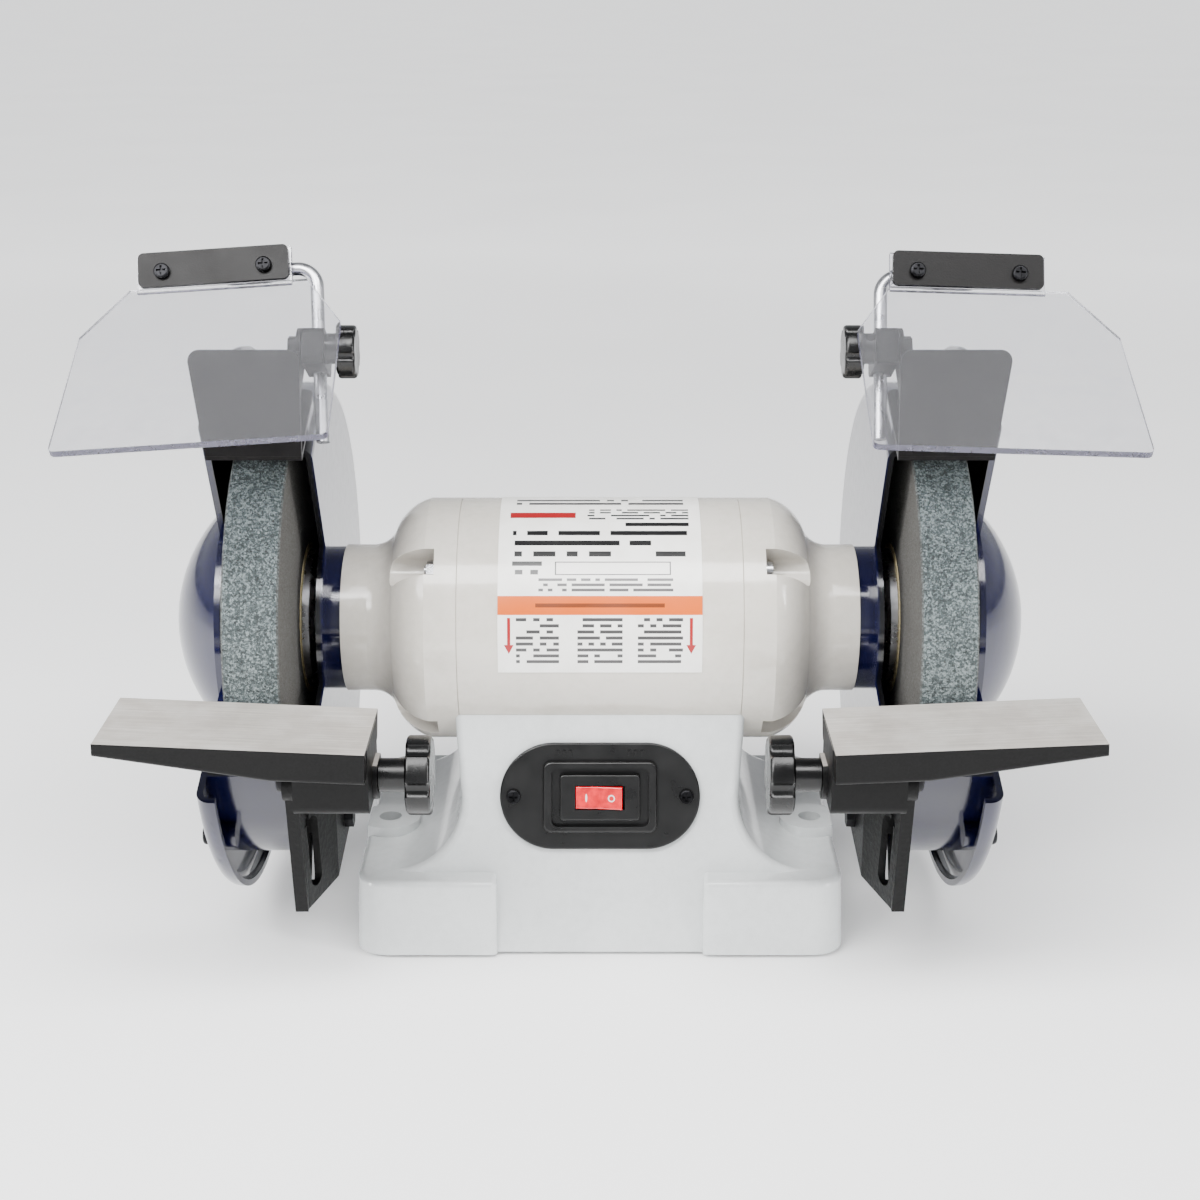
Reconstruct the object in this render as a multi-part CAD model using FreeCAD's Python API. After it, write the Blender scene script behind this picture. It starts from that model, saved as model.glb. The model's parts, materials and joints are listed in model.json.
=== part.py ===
import FreeCAD, Part
import math
import os

# Eight-inch bench grinder: two grinding wheels on one motor spindle, in guards, on a cast base.
#
# Frame: millimetres, +X to the right, +Y to the back, +Z up. The origin lies on the bench, midway between
# the two mounting holes. Most pieces are drawn in the spindle frame, whose origin is the middle of the
# spindle, and the base pieces in the same frame dropped to the bench. Side pieces are drawn for the
# right-hand side and mirrored to the left. Angles round the spindle run from the front, positive upwards.

# ---- overall sizes ----
SPINDLE_HEIGHT = 145.0      # spindle above the bench
SPINDLE_BACK = 14.0         # spindle behind the line of the two mounting holes
WHEEL_CENTRE = 155.0        # middle of each wheel from the middle of the machine
WHEEL_DIAMETER = 203.2
WHEEL_WIDTH = 25.4
MOTOR_R = 59.0
WHEEL_GAP = 12.4            # rim of the wheel to the outside of its guard
INNER_ROOM, OUTER_ROOM = 12.3, 8.3   # sides of the wheel to the guard's inner wall and cover
GUARD_R = WHEEL_DIAMETER / 2 + WHEEL_GAP
GUARD_INNER_X = WHEEL_CENTRE - WHEEL_WIDTH / 2 - INNER_ROOM   # outside face of the inner wall

# ---- base casting ----
BASE_CLEAR = 2.0            # rim of the base above the bench
BASE_HALF_WIDTH = 116.6
BASE_HALF_DEPTH = 80.0
BASE_WALL = 5.0
BASE_CORNER = 15.0
BASE_DRAFT = 1.2            # how much each side leans in from rim to wing
WING_TOP = 39.5             # top of the low wings beside the pedestal
PEDESTAL_TOP = SPINDLE_HEIGHT - 32.0
PEDESTAL_HALF_WIDTH = 69.0
WAIST_HALF_WIDTH = 66.0
FLARE_RADIUS = 34.0         # hollow curve from pedestal to wing
FACE_TOP_Y = 50.0           # front face of the pedestal at its top
FACE_FOOT_Y = 77.1765       # the same face carried down to the bench
FACE_SLOPE = (FACE_FOOT_Y - FACE_TOP_Y) / PEDESTAL_TOP   # forward for each mm down
PAD_INNER_X = 49.0          # inner edge of the forward pads
SADDLE_WALL = 7.0
CAVITY_TOP = SPINDLE_HEIGHT - MOTOR_R - SADDLE_WALL
BOLT_HOLE_X = 105.0
BOLT_HOLE_R = 5.5
BOLT_BOSS_R = 15.0
BOLT_BOSS_TOP = 44.5
FOOT_X, FOOT_Y = 97.0, 60.0
FOOT_R, FOOT_HEIGHT = 9.0, 7.0
FOOT_BOSS_R = 12.5
PLATE_SCREW_X, PLATE_SCREW_Y = 72.0, 58.0
BASE_PLATE_THICK = 1.5
BASE_PLATE_LIFT = 0.6       # plate above the rim
SADDLE_BOLT_X = 45.0
SADDLE_BOLT_R = 3.0
LEAD_HOLE_R = 7.0
GLAND_X, GLAND_Z = 28.0, 24.0
GLAND_R, GLAND_FLANGE_R, GLAND_BORE_R, GLAND_FLANGE = 7.5, 11.0, 3.8, 5.0

# ---- motor ----
HOUSING_WALL = 3.0
HOUSING_HALF = 67.0
BELL_SHOULDER = HOUSING_HALF + 15.0   # where the end bell starts to round in
BELL_NECK_R = 36.0
BELL_END = GUARD_INNER_X - 6.5   # face that carries the wheel guard
BELL_WALL = 4.5
CORE_BORE_R = 33.0
CORE_HALF = 34.0
WINDING_HALF = 54.0
AIR_GAP = 0.6
# hollows in the end bell for the tie bolts' heads
POCKET_START, POCKET_FLOOR = BELL_SHOULDER - 4.5, MOTOR_R - 16.0
POCKET_HALF, POCKET_CORNER, POCKET_WALL = 6.8, 5.0, 2.5
TIE_BOLT_R = 2.5
TIE_BOLT_CIRCLE = MOTOR_R - 10.0
BEARING_OUTER_R, BEARING_BORE_R, BEARING_WIDTH = 23.5, 10.0, 14.0
BEARING_IN = BELL_END - 19.5   # inner side of each bearing
RACE_WALL = 3.9
BALLS = 9
BALL_PLAY = 0.05
SHAFT_MID_R = 12.0
ARBOR_R = 7.94
SHAFT_HALF = WHEEL_CENTRE + 34.0
RUNNING_GAP = 1.0           # shaft to the end bell's outer hole

# ---- wheel and its clamping ----
BLOTTER = 0.5
FLANGE_R = 34.0
FLANGE_THICK = 5.5
NUT_THICK = 11.0
NUT_FLATS = 23.8

# ---- wheel guard ----
GUARD_WALL = 3.0
OPEN_LOW, OPEN_HIGH = -20.0, 60.5
INNER_CUT_R = 50.0
HUB_R = 35.0                # ring on the guard's inner wall that meets the end bell
HUB_BORE_R = 19.0
COVER_R = GUARD_R + 17.0
COVER_PLATE_X = WHEEL_CENTRE + WHEEL_WIDTH / 2 + OUTER_ROOM   # inside face of the cover plate
COVER_RIM_X = COVER_PLATE_X - 6.0
COVER_WALL = 3.0
COVER_ROUND = 7.0
COVER_CUT_R = 58.5
DOME_BASE_R, DOME_HEIGHT = 58.0, 27.0
COVER_SCREW_CIRCLE = GUARD_R + 4.0
COVER_SCREW_ANGLES = (-39.0, -125.0, 165.0, 95.0)
COVER_BOSS_R, COVER_BOSS = 6.0, 9.0
SCREW_R = 2.5
HEAD_R, HEAD_HEIGHT = 4.8, 3.4
GUARD_SCREW_CIRCLE = 28.5
GUARD_SCREW_LONG = 18.0
GUARD_HEAD_HEIGHT = 2.6

# ---- tool rest ----
REST_INNER, REST_OUTER = WHEEL_CENTRE - 56.5, WHEEL_CENTRE + 57.5
REST_BACK = -WHEEL_DIAMETER / 2 - 3.4   # the gap between the wheel and the rest
REST_FRONT = REST_BACK - 54.0
REST_TOP = -4.5             # middle of the rest's top below the spindle
REST_RISE = 2.6             # degrees that the outer end stands higher
REST_THICK_IN, REST_THICK_OUT = 14.0, 6.0
REST_BLOCK_DROP = 39.0      # underside of the block below the spindle
REST_BLOCK_FRONT, REST_BLOCK_BACK = REST_FRONT + 9.0, REST_BACK - 9.0
REST_NOTCH = 6.0            # how far the slot for the arm goes up into the table
NOTCH_AHEAD = 18.5          # the slot's front end, in front of the stud
STUD_Y, STUD_Z = REST_BACK - 21.0, -30.0
STUD_R = 4.0
STUD_HEAD_R, STUD_HEAD_THICK = 7.5, 4.0
REST_IN, REST_OUT = 1.0, 8.0   # travel of the stud in its slot, to the wheel and away
ARM_IN, ARM_OUT = GUARD_INNER_X + 1.3, GUARD_INNER_X + 7.0   # web that carries the rest
LUG_IN = GUARD_INNER_X - 9.0              # lug that lies on the guard's inner wall
ARM_NOSE_R = 8.0
ARM_BOLTS = ((-66.0, -52.0), (-62.0, -78.0), (-84.0, -50.0))
KNOB_STEM_R, KNOB_STEM = 7.5, 12.0
KNOB_R, KNOB_THICK = 17.5, 11.0
KNOB_LOBES = 6
GAP = 0.3                   # between pieces that slide or turn on each other

# ---- spark arrestor ----
TONGUE_ANGLE = 68.0         # where its leg touches the guard
TONGUE_OFF = GUARD_R + 5.0          # plane of the leg from the spindle
TONGUE_THICK = 2.0
TONGUE_BACK, TONGUE_FRONT = 18.0, -32.0  # along the leg from the foot of the normal
ARRESTOR_INNER, ARRESTOR_OUTER = GUARD_INNER_X + 1.5, GUARD_INNER_X + 51.0
ARRESTOR_TAPER = 7.0        # how much narrower the plate is at its foot
ARRESTOR_HEIGHT = 46.0
ARRESTOR_LEAN = 8.5
ARRESTOR_CORNER = 5.0
ARRESTOR_TRAVEL = 4.0
ARRESTOR_SCREW_X = (GUARD_INNER_X + 10.0, GUARD_INNER_X + 28.0)
ARRESTOR_SCREW_ALONG = 5.0
LEG_OUTER = GUARD_INNER_X + 36.0           # outer edge of the leg where it passes the guard cover
LEG_NECK = -21.5            # how far along the leg it stays as wide as the plate
PAD_INNER, PAD_OUTER, PAD_LONG = GUARD_INNER_X + 2.0, LEG_OUTER, 22.0

# ---- eye shield and its clamp ----
PIVOT_AHEAD, PIVOT_ABOVE = 10.4218, 32.6651   # clamp bolt from the middle of the arrestor's leg
PIVOT_Y = -TONGUE_OFF * math.cos(math.radians(TONGUE_ANGLE)) - PIVOT_AHEAD
PIVOT_Z = TONGUE_OFF * math.sin(math.radians(TONGUE_ANGLE)) + PIVOT_ABOVE
EAR_R = 9.0
CLAMP_BOLT_R = 3.0
BLOCK_IN, BLOCK_OUT = ARRESTOR_INNER - 10.0, ARRESTOR_INNER - GAP
BLOCK_HALF = 8.0
ROD_R = 3.0
ROD_X = BLOCK_IN + 4.5
ROD_BEND = 9.0
ROD_BACK = 13.5             # rod behind the clamp bolt
ROD_BELOW = 38.0
ROD_LEAN_BACK = 27.5        # degrees from upright
SHIELD_CENTRE = WHEEL_CENTRE + 14.5
SHIELD_WIDTH, SHIELD_LENGTH, SHIELD_THICK = 115.0, 115.0, 3.0
SHIELD_TOP_WIDTH, SHIELD_CHAMFER = 80.0, 35.0
SHIELD_PITCH = 24.5         # degrees above level
BEND_UP = 34.5              # from the clamp bolt up to the shield's bend, along the rod
FLANGE_HEIGHT = 18.0
BAR_WIDTH, BAR_THICK = 68.0, 2.6
BAR_ABOVE_BEND = 2.3
BAR_SCREWS = 46.0
SHIELD_KNOB_R, SHIELD_KNOB_THICK = 11.8, 8.5
SHIELD_STEM_R, SHIELD_STEM = 6.8, 5.0
SHIELD_LEAN = {"left": 3.8, "right": 1.8}   # degrees that each shield's outer end hangs lower
ROD_SET = {"left": 0.0, "right": -3.8}      # how far each rod is drawn up through its clamp
BAR_SHIFT = {"left": 2.0, "right": -5.0}    # strip and flange outwards from the middle of the sheet

# ---- switch ----
SWITCH_Z = PEDESTAL_TOP - 37.5
SWITCH_WIDTH, SWITCH_HEIGHT, SWITCH_PLATE = 95.0, 51.0, 2.4
SWITCH_SCREW_X = 41.0
HOOD_X, HOOD_Y, HOOD_Z = 54.0, 34.0, 3.2
BEZEL_X, BEZEL_Y, BEZEL_Z = 38.0, 22.0, 6.4
BODY_X, BODY_Y, BODY_DEPTH = 33.0, 17.0, 24.0
ROCKER_X, ROCKER_Y = 22.4, 10.8
ROCKER_SWING = 8.0
ROCKER_PLAY = 0.5
PIVOT_UP = 4.4              # rocker pivot above the pedestal face

# ---- rating plate ----
LABEL_HALF, LABEL_THICK = 47.5, 0.3
LABEL_LOW, LABEL_HIGH = -7.0, 101.0

V = FreeCAD.Vector
X, Y, Z = V(1, 0, 0), V(0, 1, 0), V(0, 0, 1)
PARTS = "parts"


# ---- small shape helpers ----
def box(x0, x1, y0, y1, z0, z1):
    return Part.makeBox(x1 - x0, y1 - y0, z1 - z0, V(x0, y0, z0))


def rod_x(r, x0, x1, y=0.0, z=0.0):
    return Part.makeCylinder(r, x1 - x0, V(x0, y, z), X)


def rod_z(r, z0, z1, x=0.0, y=0.0):
    return Part.makeCylinder(r, z1 - z0, V(x, y, z0), Z)


def ring_x(r_out, r_in, x0, x1, y=0.0, z=0.0):
    return rod_x(r_out, x0, x1, y, z).cut(rod_x(r_in, x0 - 1, x1 + 1, y, z))


def prism_x(points, x0, x1):
    """A side outline of (y, z) points, carried along X."""
    wire = Part.makePolygon([V(x0, y, z) for y, z in points + points[:1]])
    return Part.Face(wire).extrude(V(x1 - x0, 0, 0))


def turned(points):
    """A (x, r) outline turned about the spindle."""
    wire = Part.makePolygon([V(x, 0, r) for x, r in points + points[:1]])
    return Part.Face(wire).revolve(V(0, 0, 0), X, 360)


def joined(shapes):
    whole = shapes[0]
    for shape in shapes[1:]:
        whole = whole.fuse(shape)
    return whole.removeSplitter()


def less(shape, *tools):
    for tool in tools:
        shape = shape.cut(tool)
    return shape


def rounded(shape, radius, wanted):
    """Fillets every edge for which wanted(edge) holds."""
    return shape.makeFillet(radius, [e for e in shape.Edges if wanted(e)])


def at_x(edge, x, tolerance=0.01):
    return abs(edge.BoundBox.XMin - x) < tolerance and abs(edge.BoundBox.XMax - x) < tolerance


def at_z(edge, z, tolerance=0.01):
    return abs(edge.BoundBox.ZMin - z) < tolerance and abs(edge.BoundBox.ZMax - z) < tolerance


def round_edge(edge, radius):
    return edge.Curve.TypeId == "Part::GeomCircle" and abs(edge.Curve.Radius - radius) < 0.01


def upright(edge):
    return edge.BoundBox.XLength < 0.01 and edge.BoundBox.YLength < 0.01


def round_about(radius, angle):
    """(y, z) at that radius and angle round the spindle, from the front and upwards."""
    a = math.radians(angle)
    return -radius * math.cos(a), radius * math.sin(a)


def sector(r_in, r_out, low, high, x0, x1):
    """Part of a ring about the spindle between two angles."""
    middle = (low + high) / 2
    far = 1.3 * r_out
    points = [(0.0, 0.0)] + [round_about(far, a) for a in (low, middle, high)]
    return prism_x(points, x0, x1).common(ring_x(r_out, r_in, x0, x1))


def hexagon_x(flats, x0, x1, y=0.0, z=0.0):
    corner = flats / math.sqrt(3)
    points = [(y + corner * math.cos(math.radians(60 * i)), z + corner * math.sin(math.radians(60 * i)))
              for i in range(6)]
    return prism_x(points, x0, x1)


def rounded_rectangle(half_x, half_y, corner, z):
    """A closed wire round a rectangle with round corners, level at z."""
    edges = []
    for sx, sy, start in ((1, 1, 0), (-1, 1, 90), (-1, -1, 180), (1, -1, 270)):
        cx, cy = sx * (half_x - corner), sy * (half_y - corner)
        a0, a1, a2 = (math.radians(start + d) for d in (0, 45, 90))
        points = [V(cx + corner * math.cos(a), cy + corner * math.sin(a), z) for a in (a0, a1, a2)]
        if edges:
            edges.append(Part.LineSegment(edges[-1].EndPoint, points[0]))
        edges.append(Part.Arc(*points))
    edges.append(Part.LineSegment(edges[-1].EndPoint, edges[0].StartPoint))
    return Part.Wire([e.toShape() for e in edges])


def mirrored(shape):
    return shape.mirror(V(0, 0, 0), X)


def lifted(shape):
    moved = shape.copy()
    moved.translate(V(0, 0, SPINDLE_HEIGHT))
    return moved


def in_row(shape):
    """From under the spindle to the row's origin between the mounting holes."""
    moved = shape.copy()
    moved.translate(V(0, SPINDLE_BACK, 0))
    return moved


def on_face(shape):
    """Places a piece drawn flat (X across, Y up, Z out) on the pedestal's front face, at the switch."""
    face_y = -(FACE_TOP_Y + FACE_SLOPE * (PEDESTAL_TOP - SWITCH_Z))
    tilt = 90 - math.degrees(math.atan(FACE_SLOPE))
    placed = shape.copy()
    placed.rotate(V(0, 0, 0), X, tilt)
    placed.translate(V(0, face_y, SWITCH_Z))
    return placed


def save(name, shape):
    solids = in_row(shape).Solids
    assert solids and all(s.isValid() and s.Volume > 0 for s in solids), name
    out = solids[0] if len(solids) == 1 else Part.makeCompound(solids)
    out.exportStep(os.path.join(PARTS, name + ".step"))


# ---- base ----
def pedestal(inset, bottom, top):
    """The pedestal with its flared sides and sloping faces, drawn in by inset."""
    waist = WAIST_HALF_WIDTH - inset
    centre_x, centre_z = WAIST_HALF_WIDTH + FLARE_RADIUS, WING_TOP + FLARE_RADIUS
    r = FLARE_RADIUS + inset
    top_half = PEDESTAL_HALF_WIDTH - inset
    low = WING_TOP - inset
    k = r * math.sqrt(0.5)
    edges = []
    for s in (1, -1):
        corner = V(s * top_half, 0, PEDESTAL_TOP)
        start, end = V(s * waist, 0, centre_z), V(s * centre_x, 0, low)
        foot = V(s * centre_x, 0, bottom)
        edges.append(Part.LineSegment(corner, start).toShape())
        edges.append(Part.Arc(start, V(s * (centre_x - k), 0, centre_z - k), end).toShape())
        edges.append(Part.LineSegment(end, foot).toShape())
    edges.append(Part.LineSegment(V(-top_half, 0, PEDESTAL_TOP), V(top_half, 0, PEDESTAL_TOP)).toShape())
    edges.append(Part.LineSegment(V(-centre_x, 0, bottom), V(centre_x, 0, bottom)).toShape())
    side = Part.Face(Part.Wire(Part.__sortEdges__(edges)))
    side.translate(V(0, -BASE_HALF_DEPTH - 20, 0))
    block = side.extrude(V(0, 2 * BASE_HALF_DEPTH + 40, 0))
    y0, y1 = face_y(bottom) - inset, face_y(top) - inset
    wedge = prism_x([(-y0, bottom), (y0, bottom), (y1, top), (-y1, top)], -150, 150)
    return block.common(wedge)


def face_y(z):
    """How far the pedestal's sloping face stands from the middle at height z."""
    return FACE_TOP_Y + FACE_SLOPE * (PEDESTAL_TOP - z)


def slab(inset, bottom, top):
    """The low part of the base, drawn in by inset, its sides leaning in a little."""
    wires = []
    for z in (bottom, top):
        lean = BASE_DRAFT * (z - BASE_CLEAR) / (WING_TOP - BASE_CLEAR)
        wires.append(rounded_rectangle(BASE_HALF_WIDTH - inset - lean, BASE_HALF_DEPTH - inset - lean,
                                       BASE_CORNER - inset, z))
    return Part.makeLoft(wires, True, True)


def corners(x, y):
    return [(sx * x, sy * y) for sx in (1, -1) for sy in (1, -1)]


def middle_faces(half_width, inset):
    """What is cut away between the pads, in front of the sloping faces and behind them."""
    tools = []
    for s in (1, -1):
        points = [(s * (face_y(0) - inset), 0.0), (s * (face_y(WING_TOP + 1) - inset), WING_TOP + 1),
                  (s * 120, WING_TOP + 1), (s * 120, 0.0)]
        tools.append(prism_x(points, -half_width, half_width))
    return tools


def base_outside():
    low = slab(0, BASE_CLEAR, WING_TOP)
    low = rounded(low, 3.0, lambda e: at_z(e, WING_TOP))
    low = less(low, *middle_faces(PAD_INNER_X, 0))
    low = rounded(low, 2.5, lambda e: abs(abs(e.BoundBox.XMin) - PAD_INNER_X) < 0.01
                  and e.BoundBox.XLength < 0.01 and e.BoundBox.ZLength > 20
                  and max(abs(e.BoundBox.YMin), abs(e.BoundBox.YMax)) > face_y(0) + 1)
    tall = pedestal(0, BASE_CLEAR, PEDESTAL_TOP)
    tall = rounded(tall, 4.0, lambda e: e.BoundBox.ZMin > WING_TOP - 0.1
                   and e.BoundBox.ZLength > 10 and not at_z(e, PEDESTAL_TOP))
    bosses = [rod_z(BOLT_BOSS_R, WING_TOP - 5, BOLT_BOSS_TOP, s * BOLT_HOLE_X, -SPINDLE_BACK).common(
        slab(0, BASE_CLEAR, BOLT_BOSS_TOP + 1)) for s in (1, -1)]
    return joined([low, tall] + bosses)


def base():
    low = slab(BASE_WALL, BASE_CLEAR - 1, WING_TOP - BASE_WALL)
    low = less(low, *middle_faces(PAD_INNER_X + BASE_WALL, BASE_WALL))
    hollow = low.fuse(pedestal(BASE_WALL, BASE_CLEAR - 1, CAVITY_TOP))
    keep = [rod_z(BOLT_HOLE_R + 6, BASE_CLEAR, WING_TOP, s * BOLT_HOLE_X, -SPINDLE_BACK) for s in (1, -1)]
    keep += [rod_z(FOOT_BOSS_R, BASE_CLEAR, WING_TOP - 1, x, y) for x, y in corners(FOOT_X, FOOT_Y)]
    plate_top = BASE_CLEAR + BASE_PLATE_LIFT + BASE_PLATE_THICK
    keep += [rod_z(5.5, plate_top, WING_TOP - 1, x, y) for x, y in corners(PLATE_SCREW_X, PLATE_SCREW_Y)]
    outside = base_outside()
    columns = joined(keep).common(slab(1.0, BASE_CLEAR, WING_TOP))
    body = outside.cut(hollow).fuse(columns)
    saddle = SPINDLE_HEIGHT - MOTOR_R + 9
    tools = [lifted(rod_x(MOTOR_R, -150, 150))]
    tools += [rod_z(BOLT_HOLE_R, 0, BOLT_BOSS_TOP + 1, s * BOLT_HOLE_X, -SPINDLE_BACK) for s in (1, -1)]
    tools += [rod_z(FOOT_R + 0.2, 0, FOOT_HEIGHT, x, y) for x, y in corners(FOOT_X, FOOT_Y)]
    tools += [rod_z(1.9, 0, 18, x, y) for x, y in corners(PLATE_SCREW_X, PLATE_SCREW_Y)]
    tools += [rod_z(SADDLE_BOLT_R + 0.2, CAVITY_TOP - 5, saddle, s * SADDLE_BOLT_X) for s in (1, -1)]
    tools += [rod_z(LEAD_HOLE_R, CAVITY_TOP - 5, saddle)]
    window = box(-BODY_X / 2 - 1, BODY_X / 2 + 1, -BODY_Y / 2 - 1, BODY_Y / 2 + 1,
                 -BODY_DEPTH - 1, 3)
    screws = [rod_z(1.7, -12, 3, s * SWITCH_SCREW_X) for s in (1, -1)]
    tools += [on_face(t) for t in [window] + screws]
    tools += [gland_hole()]
    return less(body, *tools)


def gland_hole():
    return Part.makeCylinder(GLAND_R + 0.1, 30, V(GLAND_X, face_y(GLAND_Z) - 20, GLAND_Z), Y)


def cord_gland():
    """Rubber bushing in the back face where the supply cord goes in."""
    back = face_y(GLAND_Z)
    flange = Part.makeCone(GLAND_FLANGE_R, GLAND_FLANGE_R - 2.5, GLAND_FLANGE, V(GLAND_X, back, GLAND_Z), Y)
    neck = Part.makeCylinder(GLAND_R, BASE_WALL + 6, V(GLAND_X, back - BASE_WALL - 5, GLAND_Z), Y)
    bore = Part.makeCylinder(GLAND_BORE_R, 60, V(GLAND_X, back - 20, GLAND_Z), Y)
    slope = prism_x([(face_y(0), 0), (face_y(60), 60), (0, 60), (0, 0)], 0, 60)
    return flange.cut(slope).fuse(neck).cut(bore).removeSplitter()


def base_plate():
    z0 = BASE_CLEAR + BASE_PLATE_LIFT
    z1 = z0 + BASE_PLATE_THICK
    inset = BASE_WALL + 0.5
    plate = slab(inset, z0, z1)
    reach = face_y(z1 + 1) - inset
    middle = box(-PAD_INNER_X - 6, PAD_INNER_X + 6, -reach, reach, z0, z1)
    sides = less(plate, box(-PAD_INNER_X - 6, PAD_INNER_X + 6, -100, 100, z0 - 1, z1 + 1))
    plate = joined([sides, middle])
    holes = [rod_z(FOOT_BOSS_R + 0.5, z0 - 1, z1 + 1, x, y) for x, y in corners(FOOT_X, FOOT_Y)]
    holes += [rod_z(2.4, z0 - 1, z1 + 1, x, y) for x, y in corners(PLATE_SCREW_X, PLATE_SCREW_Y)]
    holes += [rod_z(BOLT_HOLE_R + 6.5, z0 - 1, z1 + 1, s * BOLT_HOLE_X, -SPINDLE_BACK) for s in (1, -1)]
    plate = less(plate, *holes)
    return max(plate.Solids, key=lambda s: s.Volume)


def base_plate_screws():
    z1 = BASE_CLEAR + BASE_PLATE_LIFT
    shapes = []
    for x, y in corners(PLATE_SCREW_X, PLATE_SCREW_Y):
        shapes.append(rod_z(4.0, z1 - 1.6, z1, x, y).fuse(rod_z(1.8, z1, 16, x, y)).removeSplitter())
    return Part.makeCompound(shapes)


def rubber_feet():
    feet = [rounded(rod_z(FOOT_R, 0, FOOT_HEIGHT, x, y), 0.8, lambda e: at_z(e, 0)) for x, y in
            corners(FOOT_X, FOOT_Y)]
    return Part.makeCompound(feet)


def saddle_bolts():
    """Two bolts from inside the pedestal up into the motor housing."""
    shapes = []
    for s in (1, -1):
        x = s * SADDLE_BOLT_X
        head = rod_z(5.2, CAVITY_TOP - 4.5, CAVITY_TOP, x)
        shank = rod_z(SADDLE_BOLT_R, CAVITY_TOP - 1, SPINDLE_HEIGHT - MOTOR_R + 8, x)
        shapes.append(head.fuse(shank).removeSplitter())
    return Part.makeCompound(shapes)


def run_capacitor():
    body = rod_x(14.0, -34, 10, 18.0, 50.0)
    body = rounded(body, 1.5, lambda e: round_edge(e, 14.0))
    tabs = [box(10, 18, 18 - 6 + 9 * i, 18 - 3 + 9 * i, 49.5, 50.5) for i in (0, 1)]
    return joined([body] + tabs)


# ---- motor ----
def around(count, radius, first):
    """(y, z) of count places evenly round the spindle."""
    return [round_about(radius, first + 360.0 * i / count) for i in range(count)]


def tie_places():
    return around(4, TIE_BOLT_CIRCLE, 45.0)


def up_holes(r):
    """Holes for the saddle bolts and the motor leads, in the spindle frame."""
    down = -MOTOR_R - 1
    holes = [rod_z(SADDLE_BOLT_R + r, down, -MOTOR_R + 8.5, s * SADDLE_BOLT_X) for s in (1, -1)]
    return holes + [rod_z(LEAD_HOLE_R, down, -MOTOR_R + HOUSING_WALL + 1)]


def stator_housing():
    tube = ring_x(MOTOR_R, MOTOR_R - HOUSING_WALL, -HOUSING_HALF, HOUSING_HALF)
    edge = [e for e in tube.Edges if round_edge(e, MOTOR_R)]
    return less(tube.makeChamfer(0.5, edge), *up_holes(0.0))


def stator_core():
    core = ring_x(MOTOR_R - HOUSING_WALL - 0.02, CORE_BORE_R, -CORE_HALF, CORE_HALF)
    slots = 24
    tools = [rod_x(3.0, -CORE_HALF - 1, CORE_HALF + 1, y, z) for y, z in around(slots, CORE_BORE_R + 5, 7.5)]
    tools += [rod_x(TIE_BOLT_R + 0.3, -CORE_HALF - 1, CORE_HALF + 1, y, z) for y, z in tie_places()]
    tools += up_holes(0.1)
    return less(core, *tools)


def stator_winding():
    """The two copper end turns that stand out of the core."""
    ends = []
    for s in (1, -1):
        x0, x1 = sorted((s * (CORE_HALF + 0.5), s * WINDING_HALF))
        ring = ring_x(CORE_BORE_R + 11.5, CORE_BORE_R + 2, x0, x1)
        ends.append(rounded(ring, 2.5, lambda e, x=s * WINDING_HALF: at_x(e, x)))
    return Part.makeCompound(ends)


def pocket(grown, angle):
    """The hollow round one tie bolt's head, grown on its sides, floor and start."""
    half = POCKET_HALF + grown
    shape = box(POCKET_START - grown, BELL_SHOULDER + 37, -half, half, POCKET_FLOOR - grown, MOTOR_R + 5)
    shape = rounded(shape, POCKET_CORNER, lambda e: e.BoundBox.XLength > 5 and e.BoundBox.ZMax < MOTOR_R)
    shape.rotate(V(0, 0, 0), X, angle)
    return shape


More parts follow.
